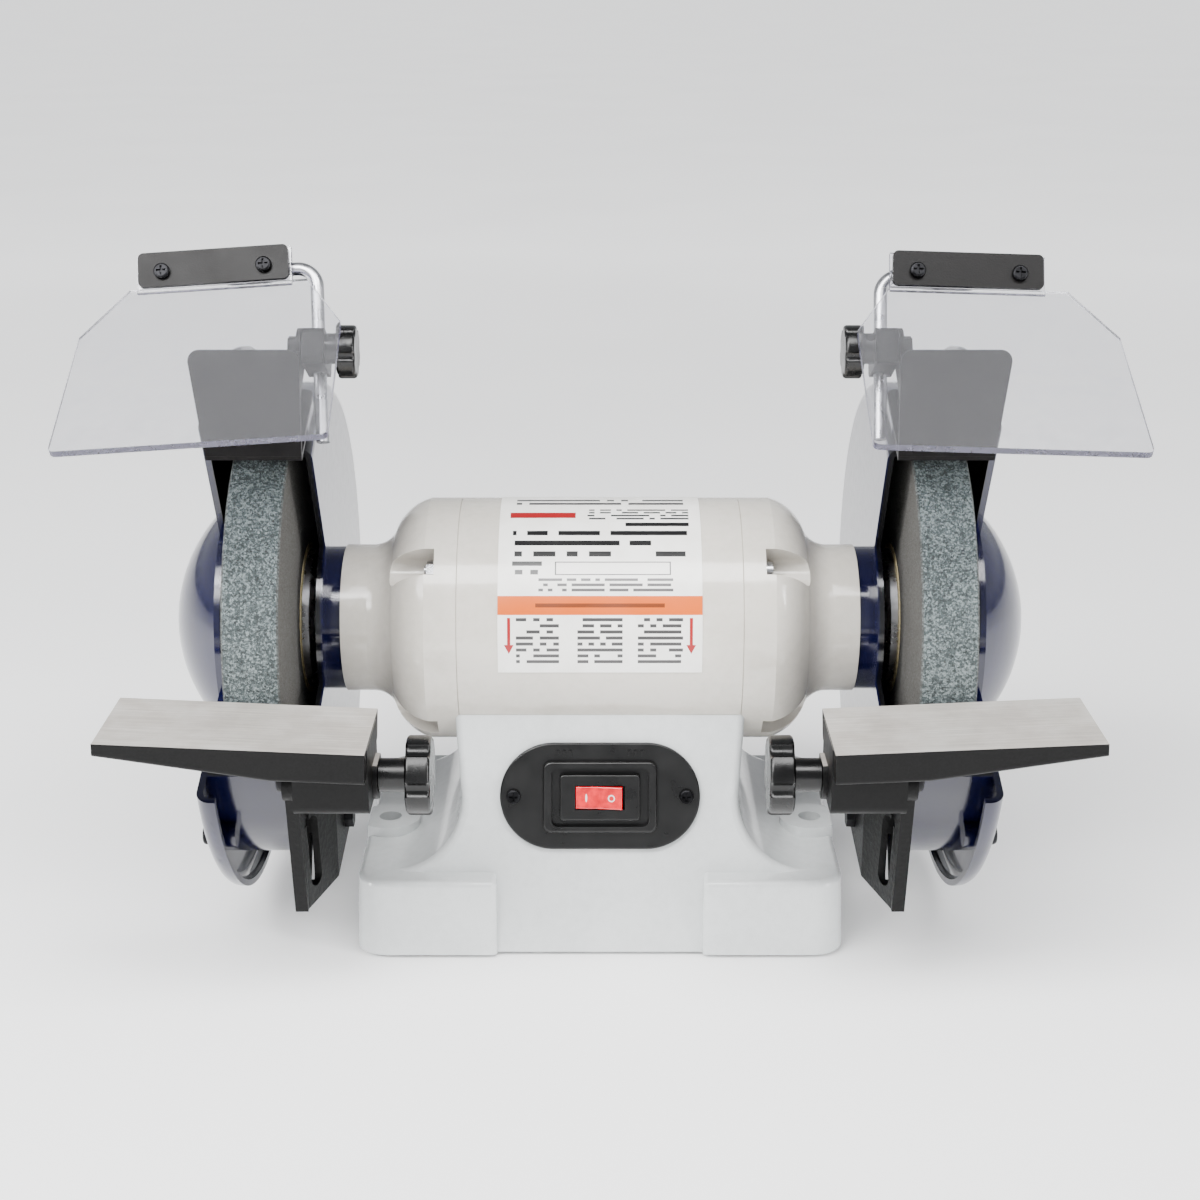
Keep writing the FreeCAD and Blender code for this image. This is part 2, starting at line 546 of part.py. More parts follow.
def end_bell():
    """Right-hand end bell: shoulder, neck, bearing seat and the pockets for the tie bolts."""
    x0, x1, x2 = HOUSING_HALF, BELL_SHOULDER, BELL_SHOULDER + 17
    outer = [
        Part.LineSegment(V(x0, 0, MOTOR_R), V(x1, 0, MOTOR_R)),
        Part.Arc(V(x1, 0, MOTOR_R), V(x1 + 10.5, 0, MOTOR_R - 5.5), V(x2, 0, MOTOR_R - 15)),
        Part.Arc(V(x2, 0, MOTOR_R - 15), V(x2 + 4.2, 0, BELL_NECK_R + 2.6), V(x2 + 12, 0, BELL_NECK_R)),
        Part.LineSegment(V(x2 + 12, 0, BELL_NECK_R), V(BELL_END, 0, BELL_NECK_R)),
        Part.LineSegment(V(BELL_END, 0, BELL_NECK_R), V(BELL_END, 0, 0)),
        Part.LineSegment(V(BELL_END, 0, 0), V(x0, 0, 0)),
        Part.LineSegment(V(x0, 0, 0), V(x0, 0, MOTOR_R)),
    ]
    outside = Part.Face(Part.Wire([e.toShape() for e in outer])).revolve(V(0, 0, 0), X, 360)
    inner_r = MOTOR_R - BELL_WALL
    room = turned([(x0 - 1, 0), (x0 - 1, inner_r), (x1 - 4, inner_r), (x2 - 6, inner_r - 14),
                   (x2 - 6, 0)])
    solid = less(outside, room, rod_x(BEARING_OUTER_R, x2 - 8, BEARING_IN + BEARING_WIDTH),
                 rod_x(SHAFT_MID_R + RUNNING_GAP, 90, BELL_END + 1))
    for y, z in tie_places():
        boss = rod_x(TIE_BOLT_R + 3.5, x0, POCKET_START, y, z).common(rod_x(MOTOR_R - 1, x0, x1))
        solid = solid.fuse(boss)
    for i in range(4):
        wall = pocket(POCKET_WALL, 45 + 90 * i).common(outside)
        solid = solid.fuse(wall)
    solid = less(solid, *[pocket(0.0, 45 + 90 * i) for i in range(4)])
    holes = [rod_x(TIE_BOLT_R + 0.2, x0 - 1, x1 + 1, y, z) for y, z in tie_places()]
    holes += [rod_x(SCREW_R - 0.4, BELL_END - 10, BELL_END + 1, y, z) for y, z in guard_screw_places()]
    return less(solid, *holes).removeSplitter()


def tie_bolts():
    """Four long bolts that draw the end bells together, with a head at one end and a nut at the other."""
    bolts = []
    reach = POCKET_START
    for y, z in tie_places():
        shank = rod_x(TIE_BOLT_R, -reach - 5, reach + 1, y, z)
        head = rod_x(4.4, reach, reach + 3.6, y, z)
        slot = box(reach + 2.4, reach + 5, y - 5, y + 5, z - 0.6, z + 0.6)
        nut = hexagon_x(8.0, -reach - 4, -reach, y, z)
        bolts.append(joined([shank, less(head, slot), nut]))
    return Part.makeCompound(bolts)


def rating_plate():
    outer = MOTOR_R + LABEL_THICK + 0.02
    return sector(MOTOR_R + 0.02, outer, LABEL_LOW, LABEL_HIGH, -LABEL_HALF, LABEL_HALF)


def both(shape):
    return Part.makeCompound([shape, mirrored(shape)])


def bearing_outer_races():
    x0, x1 = BEARING_IN, BEARING_IN + BEARING_WIDTH
    return both(ring_x(BEARING_OUTER_R, BEARING_OUTER_R - RACE_WALL, x0, x1))


def bearing_inner_races():
    """Inner races with their balls."""
    x0, x1 = BEARING_IN, BEARING_IN + BEARING_WIDTH
    inner = BEARING_BORE_R + RACE_WALL
    outer = BEARING_OUTER_R - RACE_WALL
    pitch, ball = (inner + outer) / 2, (outer - inner) / 2 - BALL_PLAY
    shapes = [ring_x(inner, BEARING_BORE_R, x0, x1)]
    for y, z in around(BALLS, pitch, 0.0):
        shapes.append(Part.makeSphere(ball, V((x0 + x1) / 2, y, z)))
    return Part.makeCompound(shapes + [mirrored(s) for s in shapes])


# ---- rotor ----
def inner_flange_x():
    """Inner side of the inner flange, which is the shaft's shoulder."""
    return WHEEL_CENTRE - WHEEL_WIDTH / 2 - BLOTTER - FLANGE_THICK


def outer_flange_x():
    return WHEEL_CENTRE + WHEEL_WIDTH / 2 + BLOTTER


def shaft():
    half = [(0, 0), (0, SHAFT_MID_R), (BEARING_IN, SHAFT_MID_R), (BEARING_IN, BEARING_BORE_R),
            (inner_flange_x(), BEARING_BORE_R), (inner_flange_x(), ARBOR_R),
            (SHAFT_HALF - 1.2, ARBOR_R), (SHAFT_HALF, ARBOR_R - 1.2), (SHAFT_HALF, 0)]
    right = turned(half)
    return joined([right, mirrored(right)])


def rotor_core():
    core = ring_x(CORE_BORE_R - AIR_GAP, SHAFT_MID_R, -CORE_HALF, CORE_HALF)
    end_rings = [ring_x(CORE_BORE_R - AIR_GAP - 2, SHAFT_MID_R + 8, x, x + 6)
                 for x in (-CORE_HALF - 6, CORE_HALF)]
    return joined([core] + end_rings)


def grinding_wheel():
    x0, x1 = WHEEL_CENTRE - WHEEL_WIDTH / 2, WHEEL_CENTRE + WHEEL_WIDTH / 2
    disc = rod_x(WHEEL_DIAMETER / 2, x0, x1)
    disc = disc.makeChamfer(0.8, [e for e in disc.Edges if at_x(e, x0) or at_x(e, x1)])
    return disc.cut(rod_x(ARBOR_R + 0.06, x0 - 1, x1 + 1))


def flange(x0, face_side):
    """A clamping flange, relieved on the side that faces the wheel."""
    disc = ring_x(FLANGE_R, ARBOR_R + 0.03, x0, x0 + FLANGE_THICK)
    wheel_x = x0 + FLANGE_THICK if face_side > 0 else x0
    back_x = x0 if face_side > 0 else x0 + FLANGE_THICK
    relief = ring_x(FLANGE_R - 12, ARBOR_R + 4, wheel_x - 1.2, wheel_x + 1.2)
    edge = [e for e in disc.Edges if at_x(e, back_x) and round_edge(e, FLANGE_R)]
    return disc.makeChamfer(2.2, edge).cut(relief)


def blotters():
    places = (WHEEL_CENTRE - WHEEL_WIDTH / 2 - BLOTTER, WHEEL_CENTRE + WHEEL_WIDTH / 2)
    rings = [ring_x(FLANGE_R + 3, ARBOR_R + 1, x, x + BLOTTER) for x in places]
    return Part.makeCompound(rings + [mirrored(r) for r in rings])


def arbor_nut():
    x0 = outer_flange_x() + FLANGE_THICK
    nut = hexagon_x(NUT_FLATS, x0, x0 + NUT_THICK)
    corner = NUT_FLATS / math.sqrt(3)
    x1 = x0 + NUT_THICK
    crown = turned([(x0 - 1, 0), (x0 - 1, corner + 1), (x1 - 2.4, corner + 1), (x1, NUT_FLATS / 2 - 0.4),
                    (x1, 0)])
    return nut.common(crown).cut(rod_x(ARBOR_R + 0.02, x0 - 1, x0 + NUT_THICK + 1))


# ---- wheel guards ----
def guard_screw_places():
    return around(3, GUARD_SCREW_CIRCLE, 30.0)


def cover_screw_places():
    return [round_about(COVER_SCREW_CIRCLE, a) for a in COVER_SCREW_ANGLES]


def tongue_frame(shape):
    """Carries a piece drawn with Y along the arrestor's leg and Z off it to its place on the guard."""
    placed = shape.copy()
    placed.rotate(V(0, 0, 0), X, 90 - TONGUE_ANGLE)
    foot = round_about(TONGUE_OFF, TONGUE_ANGLE)
    placed.translate(V(0, foot[0], foot[1]))
    return placed


def wheel_guard():
    x0, x1 = GUARD_INNER_X, COVER_PLATE_X
    drum = rod_x(GUARD_R, x0, x1)
    drum = rounded(drum, 7.0, lambda e: at_x(e, x0))
    room = rod_x(GUARD_R - GUARD_WALL, x0 + GUARD_WALL, x1 + 1)
    room = rounded(room, 4.0, lambda e: at_x(e, x0 + GUARD_WALL))
    drum = drum.cut(room)
    bosses = [rod_x(COVER_BOSS_R, x1 - COVER_BOSS, x1, y, z) for y, z in cover_screw_places()]
    pad = tongue_frame(box(PAD_INNER, PAD_OUTER, ARRESTOR_SCREW_ALONG - PAD_LONG / 2,
                           ARRESTOR_SCREW_ALONG + PAD_LONG / 2, -9, 0))
    hub = rod_x(HUB_R, BELL_END + 0.05, x0 + 1)
    solid = joined([drum] + bosses + [pad, hub])
    cutter = sector(INNER_CUT_R, GUARD_R + 30, OPEN_LOW, OPEN_HIGH, x0 - 1, x1 + 1)
    tools = [cutter, rod_x(HUB_BORE_R, BELL_END - 1, x0 + 10),
             rod_x(GUARD_R - GUARD_WALL - 0.01, x0 + 14, x1 + 1)]
    tools += [rod_x(SCREW_R + 0.2, BELL_END - 1, x0 + 10, y, z) for y, z in guard_screw_places()]
    tools += [rod_x(SCREW_R - 0.3, x1 - COVER_BOSS + 2, x1 + 1, y, z) for y, z in cover_screw_places()]
    tools += [rod_x(3.3, x0 - 1, x0 + 10, y, z) for y, z in ARM_BOLTS]
    tools += [tongue_frame(rod_z(SCREW_R - 0.3, -20, 1, x, ARRESTOR_SCREW_ALONG)) for x in ARRESTOR_SCREW_X]
    return less(solid, *tools).removeSplitter()


def dome(base_r, height, x0):
    """A cap of a sphere that stands height proud of the plane x0 on a circle of base_r."""
    sphere_r = (base_r * base_r + height * height) / (2 * height)
    ball = Part.makeSphere(sphere_r, V(x0 + height - sphere_r, 0, 0))
    return ball.common(rod_x(base_r, x0, x0 + height + 1))


def guard_cover():
    x0, x1 = COVER_RIM_X, COVER_PLATE_X + COVER_WALL
    dish = rod_x(COVER_R, x0, x1)
    dish = rounded(dish, COVER_ROUND, lambda e: at_x(e, x1))
    room = rod_x(COVER_R - COVER_WALL, x0 - 1, COVER_PLATE_X)
    room = rounded(room, COVER_ROUND - COVER_WALL, lambda e: at_x(e, COVER_PLATE_X))
    cap = dome(DOME_BASE_R, DOME_HEIGHT, x1 - 0.01)
    hollow = dome(DOME_BASE_R - 3.5, DOME_HEIGHT - 0.5, COVER_PLATE_X - 1.5)
    solid = joined([dish.cut(room), cap]).cut(hollow)
    cutter = sector(COVER_CUT_R, COVER_R + 10, OPEN_LOW, OPEN_HIGH, x0 - 1, x1 + 1)
    holes = [rod_x(SCREW_R + 0.2, x0 - 1, x1 + 1, y, z) for y, z in cover_screw_places()]
    return less(solid, cutter, *holes).removeSplitter()


def crossed_screw(r, length, head_r, head_height, x_face, y, z):
    """A pan-head screw with its head on +X of x_face and a cross recess in it."""
    head = rod_x(head_r, x_face, x_face + head_height, y, z)
    head = rounded(head, head_height * 0.45, lambda e: at_x(e, x_face + head_height))
    deep = x_face + head_height - 1.4
    cross = [box(deep, x_face + head_height + 1, y - head_r * 0.55, y + head_r * 0.55, z - 0.55, z + 0.55),
             box(deep, x_face + head_height + 1, y - 0.55, y + 0.55, z - head_r * 0.55, z + head_r * 0.55)]
    return less(head, *cross).fuse(rod_x(r, x_face - length, x_face, y, z)).removeSplitter()


def cover_screws():
    face = COVER_PLATE_X + COVER_WALL
    screws = [crossed_screw(SCREW_R - 0.35, COVER_BOSS, HEAD_R, HEAD_HEIGHT, face, y, z)
              for y, z in cover_screw_places()]
    return Part.makeCompound(screws + [mirrored(s) for s in screws])


def guard_screws():
    face = GUARD_INNER_X + GUARD_WALL
    screws = [crossed_screw(SCREW_R - 0.45, GUARD_SCREW_LONG, HEAD_R, GUARD_HEAD_HEIGHT, face, y, z)
              for y, z in guard_screw_places()]
    return Part.makeCompound(screws + [mirrored(s) for s in screws])


# ---- tool rests ----
def rest_arm():
    """The cast arm: a lug on the guard's inner wall and a web in front of the guard that carries the rest."""
    clear = GUARD_R + 1.5
    back = REST_BACK
    web_outline = [(STUD_Y - REST_OUT, STUD_Z - ARM_NOSE_R), (back - 16, -99), (back - 7, -99),
                   (back + 9, -70), (back - 1, -46), (STUD_Y + REST_IN + 4, STUD_Z - ARM_NOSE_R)]
    web = prism_x(web_outline, ARM_IN, ARM_OUT)
    for y in (STUD_Y - REST_OUT, STUD_Y + REST_IN):
        web = web.fuse(rod_x(ARM_NOSE_R, ARM_IN, ARM_OUT, y, STUD_Z))
    web = web.fuse(box(ARM_IN, ARM_OUT, STUD_Y - REST_OUT, STUD_Y + REST_IN, STUD_Z - ARM_NOSE_R,
                       STUD_Z + ARM_NOSE_R))
    lug_outline = [(back - 19, -58), (back - 16, -99), (-50, -90), (-50, -44), (back + 5, -40),
                   (back - 7, -50)]
    lug = prism_x(lug_outline, LUG_IN, GUARD_INNER_X - 0.05)
    step = prism_x([(back - 19, -60), (back - 16, -99), (back - 3, -97), (back - 3, -56)], LUG_IN, ARM_OUT)
    front = joined([web, step]).cut(rod_x(clear, GUARD_INNER_X - 0.05, ARM_OUT + 1))
    arm = joined([lug, front])
    plan = [(LUG_IN - 5, back - 45), (ARM_IN, back - 45), (ARM_IN, back - 14), (LUG_IN, back + 13),
            (LUG_IN - 5, back + 13)]
    wire = Part.makePolygon([V(x, y, -130) for x, y in plan + plan[:1]])
    slant = Part.Face(wire).extrude(V(0, 0, 140))
    dip_x, dip_r = ARM_IN + 2.0, 4.5
    dip = [rod_x(dip_r, LUG_IN - 1, dip_x, y, z) for y, z in ((back - 8, -60.0), (back - 6, -86.0))]
    dip.append(prism_x([(back - 8 - dip_r, -60), (back - 8 + dip_r, -60), (back - 6 + dip_r, -86),
                        (back - 6 - dip_r, -86)], LUG_IN - 1, dip_x))
    slot = [rod_x(STUD_R + 0.2, ARM_IN - 1, ARM_OUT + 1, y, STUD_Z)
            for y in (STUD_Y - REST_OUT, STUD_Y + REST_IN)]
    slot.append(box(ARM_IN - 1, ARM_OUT + 1, STUD_Y - REST_OUT, STUD_Y + REST_IN, STUD_Z - STUD_R - 0.2,
                    STUD_Z + STUD_R + 0.2))
    bolts = [rod_x(3.2, LUG_IN - 1, GUARD_INNER_X + 1, y, z) for y, z in ARM_BOLTS]
    return less(arm, slant, *dip, *slot, *bolts).removeSplitter()


def arm_bolts():
    """Hexagon bolts through the lug, with nuts inside the guard."""
    shapes = []
    inside = GUARD_INNER_X + GUARD_WALL
    for y, z in ARM_BOLTS:
        head = hexagon_x(10.0, LUG_IN - 4.2, LUG_IN, y, z)
        shank = rod_x(3.0, LUG_IN - 1, inside + 5.5, y, z)
        nut = hexagon_x(10.0, inside, inside + 4.5, y, z)
        shapes.append(joined([head, shank, nut]))
    return Part.makeCompound(shapes + [mirrored(s) for s in shapes])


def tilted_up(shape):
    """Turns a piece so that its outer end stands REST_RISE degrees higher, about the middle of the rest."""
    turned_shape = shape.copy()
    turned_shape.rotate(V((REST_INNER + REST_OUTER) / 2, 0, REST_TOP), Y, -REST_RISE)
    return turned_shape


def tool_rest():
    """The cast table: a wedge that thins outwards, and the block that the clamping stud goes through."""
    corner_x = ARM_OUT + 1
    under_in, under_out = REST_TOP - REST_THICK_IN, REST_TOP - REST_THICK_OUT
    points = [V(REST_INNER, REST_FRONT, REST_TOP), V(REST_OUTER, REST_FRONT, REST_TOP),
              V(REST_OUTER, REST_FRONT, under_out), V(corner_x, REST_FRONT, under_in),
              V(REST_INNER, REST_FRONT, under_in)]
    wedge = Part.Face(Part.makePolygon(points + points[:1])).extrude(V(0, REST_BACK - REST_FRONT, 0))
    wedge = rounded(wedge, 2.0, lambda e: e.BoundBox.ZMax < REST_TOP - 1 and e.BoundBox.XLength > 5)
    block = box(REST_INNER, ARM_IN - GAP, REST_BLOCK_FRONT, REST_BLOCK_BACK, -REST_BLOCK_DROP,
                REST_TOP - 4)
    block = rounded(block, 4.0, lambda e: e.BoundBox.XLength > 5 and e.BoundBox.ZMax < -20)
    notch = box(ARM_IN - GAP, ARM_OUT + 0.8, STUD_Y - NOTCH_AHEAD, REST_BACK + 1, -60,
                REST_TOP - REST_THICK_IN + REST_NOTCH)
    body = joined([tilted_up(wedge), block])
    collar = rod_x(10.5, REST_INNER - 2.0, REST_INNER + 1, STUD_Y, STUD_Z)
    room = tilted_up(box(REST_INNER - 20, REST_INNER, -200, 0, -20, 60))
    body = joined([body, collar.cut(room)])
    bore = rod_x(STUD_R + 0.15, REST_INNER - 20, ARM_OUT + 2, STUD_Y, STUD_Z)
    return less(body, notch, bore).removeSplitter()


def rest_stud():
    """Coach bolt through the arm's slot and the rest, with the knob on its inner end."""
    shank = rod_x(STUD_R, REST_INNER - 2 - KNOB_STEM, ARM_OUT, STUD_Y, STUD_Z)
    head = rod_x(STUD_HEAD_R, ARM_OUT + 0.1, ARM_OUT + 0.1 + STUD_HEAD_THICK, STUD_Y, STUD_Z)
    head = rounded(head, 1.8, lambda e: at_x(e, ARM_OUT + 0.1 + STUD_HEAD_THICK))
    neck = rod_x(STUD_R, ARM_OUT - 1, ARM_OUT + 1, STUD_Y, STUD_Z)
    return joined([shank, neck, head])


def lobed_knob(r, thick, stem_r, stem, x_face, y, z, bore_r, bore_depth):
    """A moulded knob whose stem ends at x_face; it points to -X. The rim is scalloped."""
    x1 = x_face - stem
    x0 = x1 - thick
    head = rod_x(r, x0, x1, y, z)
    cutters = [rod_x(r * 0.24, x0 - 1, x1 + 1, y + dy, z + dz)
               for dy, dz in around(KNOB_LOBES, r * 1.12, 0.0)]
    head = less(head, *cutters)
    head = rounded(head, 1.6, lambda e: at_x(e, x0) or at_x(e, x1))
    body = joined([head, rod_x(stem_r, x1 - 1, x_face, y, z)])
    return body.cut(rod_x(bore_r, x_face - bore_depth, x_face + 1, y, z))


def rest_knob():
    face = REST_INNER - 2 - GAP
    return lobed_knob(KNOB_R, KNOB_THICK, KNOB_STEM_R, KNOB_STEM, face, STUD_Y, STUD_Z,
                      STUD_R + 0.05, KNOB_STEM + 1)


# ---- spark arrestors ----
def slot_plate_cut(x):
    """A slot for one fixing screw, along the leg."""
    y0, y1 = ARRESTOR_SCREW_ALONG - ARRESTOR_TRAVEL, ARRESTOR_SCREW_ALONG + ARRESTOR_TRAVEL
    r = SCREW_R + 0.2
    ends = [rod_z(r, -2, TONGUE_THICK + 2, x, y) for y in (y0, y1)]
    return joined(ends + [box(x - r, x + r, y0, y1, -2, TONGUE_THICK + 2)])


def spark_arrestor():
    """Bent steel plate: a leg on the guard, a shield that stands up, and an ear for the eye shield."""
    leg = box(ARRESTOR_INNER, LEG_OUTER, TONGUE_FRONT, TONGUE_BACK, 0.1, TONGUE_THICK + 0.1)
    leg = rounded(leg, 4.0, lambda e: e.BoundBox.ZLength > 1 and e.BoundBox.YMax > TONGUE_BACK - 0.1)
    foot_outer = ARRESTOR_OUTER - ARRESTOR_TAPER
    wide = box(ARRESTOR_INNER, foot_outer, TONGUE_FRONT, LEG_NECK, 0.1, TONGUE_THICK + 0.1)
    leg = joined([leg, wide])
    leg = tongue_frame(less(leg, *[slot_plate_cut(x) for x in ARRESTOR_SCREW_X]))
    front = tongue_frame(Part.Vertex(0, TONGUE_FRONT, TONGUE_THICK / 2))
    y0, z0 = front.Point.y, front.Point.z
    outline = [V(ARRESTOR_INNER, 0, -1), V(foot_outer, 0, -1), V(ARRESTOR_OUTER, 0, ARRESTOR_HEIGHT),
               V(ARRESTOR_INNER, 0, ARRESTOR_HEIGHT)]
    plate = Part.Face(Part.makePolygon(outline + outline[:1])).extrude(V(0, -TONGUE_THICK, 0))
    plate = rounded(plate, ARRESTOR_CORNER, lambda e: e.BoundBox.YLength > 1 and e.BoundBox.XLength < 0.01
                    and e.BoundBox.ZMin > ARRESTOR_HEIGHT - 0.1)
    plate.rotate(V(0, 0, 0), X, -ARRESTOR_LEAN)
    plate.translate(V(0, y0 + TONGUE_THICK * 0.8, z0))
    x0, x1 = ARRESTOR_INNER, ARRESTOR_INNER + TONGUE_THICK
    ear = rod_x(EAR_R, x0, x1, PIVOT_Y, PIVOT_Z)
    neck = prism_x([(PIVOT_Y - 15.5, PIVOT_Z - 20), (PIVOT_Y - 13.5, PIVOT_Z - 3),
                    (PIVOT_Y, PIVOT_Z + EAR_R - 0.4),
                    (PIVOT_Y + EAR_R - 0.6, PIVOT_Z), (PIVOT_Y + 3, PIVOT_Z - EAR_R + 0.2)], x0, x1)
    ear = joined([ear, neck]).cut(rod_x(CLAMP_BOLT_R + 0.1, x0 - 1, x1 + 1, PIVOT_Y, PIVOT_Z))
    return joined([leg, plate, ear])


def arrestor_screws():
    screws = []
    for x in ARRESTOR_SCREW_X:
        top = TONGUE_THICK + 0.2
        head = rounded(rod_z(HEAD_R, top, top + HEAD_HEIGHT, x, ARRESTOR_SCREW_ALONG), 1.4,
                       lambda e: at_z(e, TONGUE_THICK + 0.2 + HEAD_HEIGHT))
        slot = box(x - 6, x + 6, ARRESTOR_SCREW_ALONG - 0.6, ARRESTOR_SCREW_ALONG + 0.6,
                   top + HEAD_HEIGHT - 1.3, top + 6)
        shank = rod_z(SCREW_R - 0.35, -9, top, x, ARRESTOR_SCREW_ALONG)
        screws.append(tongue_frame(less(head, slot).fuse(shank).removeSplitter()))
    return Part.makeCompound(screws + [mirrored(s) for s in screws])


# ---- eye shields ----
def rod_way():
    """Unit (y, z) up the shield's rod, and the unit (y, z) straight behind it."""
    a = math.radians(ROD_LEAN_BACK)
    return (math.sin(a), math.cos(a)), (math.cos(a), -math.sin(a))


def from_pivot(up, back):
    """(y, z) of a point so far up the rod and so far behind the clamp bolt."""
    u, b = rod_way()
    return PIVOT_Y + up * u[0] + back * b[0], PIVOT_Z + up * u[1] + back * b[1]


def along_rod(shape):
    """Carries a piece drawn with Y back and Z up the rod, its origin at the clamp bolt, to its place."""
    placed = shape.copy()
    placed.rotate(V(0, 0, 0), X, -ROD_LEAN_BACK)
    placed.translate(V(0, PIVOT_Y, PIVOT_Z))
    return placed


def leaned(shape, side):
    """Leans a shield's own pieces sideways about its rod's place in the clamp."""
    y, z = from_pivot(0, ROD_BACK)
    placed = shape.copy()
    placed.rotate(V(ROD_X, y, z), Y, SHIELD_LEAN[side])
    return placed


def clamp_block(side):
    """Block that grips the rod; it turns on the ear about the clamp bolt, which is part of it."""
    block = box(BLOCK_IN, BLOCK_OUT, -7.5, ROD_BACK + 7, -BLOCK_HALF, BLOCK_HALF)
    block = rounded(block, 3.0, lambda e: e.BoundBox.XLength > 5)
    block = along_rod(block)
    bore = leaned(along_rod(rod_z(ROD_R + 0.15, -40, 40, ROD_X, ROD_BACK)), side)
    bolt = rod_x(CLAMP_BOLT_R, BLOCK_IN - SHIELD_STEM, ARRESTOR_INNER + TONGUE_THICK + 4.5, PIVOT_Y, PIVOT_Z)
    nut = hexagon_x(10.0, ARRESTOR_INNER + TONGUE_THICK + 0.2, ARRESTOR_INNER + TONGUE_THICK + 4.2,
                    PIVOT_Y, PIVOT_Z)
    return joined([block.cut(bore), bolt, nut])


def clamp_knob():
    return lobed_knob(SHIELD_KNOB_R, SHIELD_KNOB_THICK, SHIELD_STEM_R, SHIELD_STEM, BLOCK_IN - GAP,
                      PIVOT_Y, PIVOT_Z, CLAMP_BOLT_R + 0.05, SHIELD_STEM + 1)


def flange_back():
    """Back of the shield's flange, measured behind the clamp bolt: the rod lies against it."""
    return ROD_BACK - ROD_R - 0.02


def bend_up(side):
    """From the clamp bolt up to this shield's bend."""
    return BEND_UP + ROD_SET[side]


def bar_centre(side):
    return SHIELD_CENTRE + BAR_SHIFT[side]


def shield_rod(side):
    """A bent rod: up through the clamp, then level along the back of the shield's flange."""
    mid = bend_up(side) + FLANGE_HEIGHT / 2
    end_x = bar_centre(side) + BAR_WIDTH / 2 - 4
    bottom, low = V(ROD_X, ROD_BACK, -ROD_BELOW), V(ROD_X, ROD_BACK, mid - ROD_BEND)
    k = ROD_BEND * (1 - math.sqrt(0.5))
    corner = V(ROD_X + k, ROD_BACK, mid - k)
    high, end = V(ROD_X + ROD_BEND, ROD_BACK, mid), V(end_x, ROD_BACK, mid)
    path = Part.Wire([Part.LineSegment(bottom, low).toShape(), Part.Arc(low, corner, high).toShape(),
                      Part.LineSegment(high, end).toShape()])
    circle = Part.Wire(Part.makeCircle(ROD_R, bottom, Z))
    rod = path.makePipeShell([circle], True, False)
    rod = less(rod, *[rod_y_hole(x, mid) for x in bar_screw_x(side)])
    return leaned(along_rod(rod), side)


def bar_screw_x(side):
    return bar_centre(side) - BAR_SCREWS / 2, bar_centre(side) + BAR_SCREWS / 2


def rod_y_hole(x, z, r=1.45):
    return Part.makeCylinder(r, 60, V(x, -20, z), Y)


def eye_shield(side):
    """Clear sheet with two cut corners, bent up along its top edge into the flange."""
    t = SHIELD_THICK
    back = flange_back()
    bend = bend_up(side)
    x0, x1 = bar_centre(side) - BAR_WIDTH / 2 - 1, bar_centre(side) + BAR_WIDTH / 2 + 1
    flange = box(x0, x1, back - t, back, bend, bend + FLANGE_HEIGHT)
    half, top_half = SHIELD_WIDTH / 2, SHIELD_TOP_WIDTH / 2
    points = [(-top_half, 0), (top_half, 0), (half, -SHIELD_CHAMFER), (half, -SHIELD_LENGTH),
              (-half, -SHIELD_LENGTH), (-half, -SHIELD_CHAMFER)]
    outline = [V(SHIELD_CENTRE + x, y, 0) for x, y in points]
    pane = Part.Face(Part.makePolygon(outline + outline[:1])).extrude(V(0, 0, t))
    pane = rounded(pane, 3.0, lambda e: e.BoundBox.ZLength > 1 and e.BoundBox.YMax < -SHIELD_CHAMFER - 1)
    pane.rotate(V(0, 0, 0), X, SHIELD_PITCH + ROD_LEAN_BACK)
    pane.translate(V(0, back - t * 0.55, bend))
    knee = rod_x(t / 2, x0, x1, back - t / 2, bend)
    sheet = joined([flange, pane, knee])
    sheet = less(sheet, *[rod_y_hole(x, bend + FLANGE_HEIGHT / 2, 1.8) for x in bar_screw_x(side)])
    return leaned(along_rod(sheet), side)


def shield_bar(side):
    """Steel strip screwed over the front of the flange."""
    face = flange_back() - SHIELD_THICK
    bend, middle = bend_up(side), bar_centre(side)
    bar = box(middle - BAR_WIDTH / 2, middle + BAR_WIDTH / 2, face - BAR_THICK, face,
              bend + BAR_ABOVE_BEND, bend + FLANGE_HEIGHT + 0.3)
    bar = rounded(bar, 2.5, lambda e: e.BoundBox.YLength > 1)
    bar = less(bar, *[rod_y_hole(x, bend + FLANGE_HEIGHT / 2, 1.8) for x in bar_screw_x(side)])
    return leaned(along_rod(bar), side)


def shield_screws(side):
    face = flange_back() - SHIELD_THICK - BAR_THICK
    mid = bend_up(side) + FLANGE_HEIGHT / 2
    screws = []
    for x in bar_screw_x(side):
        head = Part.makeCylinder(3.6, 2.6, V(x, face, mid), V(0, -1, 0))
        head = rounded(head, 1.1, lambda e: abs(e.BoundBox.YMax - face + 2.6) < 0.01)
        slots = [box(x - 2.2, x + 2.2, face - 4, face - 1.5, mid - 0.5, mid + 0.5),
                 box(x - 0.5, x + 0.5, face - 4, face - 1.5, mid - 2.2, mid + 2.2)]
        shank = Part.makeCylinder(1.4, BAR_THICK + SHIELD_THICK + 2 * ROD_R, V(x, face, mid), Y)
        screws.append(leaned(along_rod(less(head, *slots).fuse(shank).removeSplitter()), side))
    return Part.makeCompound(screws)


# ---- switch ----
def plate_outline(width, height, z0, z1):
    """A plate with round ends, lying flat."""
    half = (width - height) / 2
    ends = [rod_z(height / 2, z0, z1, s * half) for s in (1, -1)]
    return joined(ends + [box(-half, half, -height / 2, height / 2, z0, z1)])


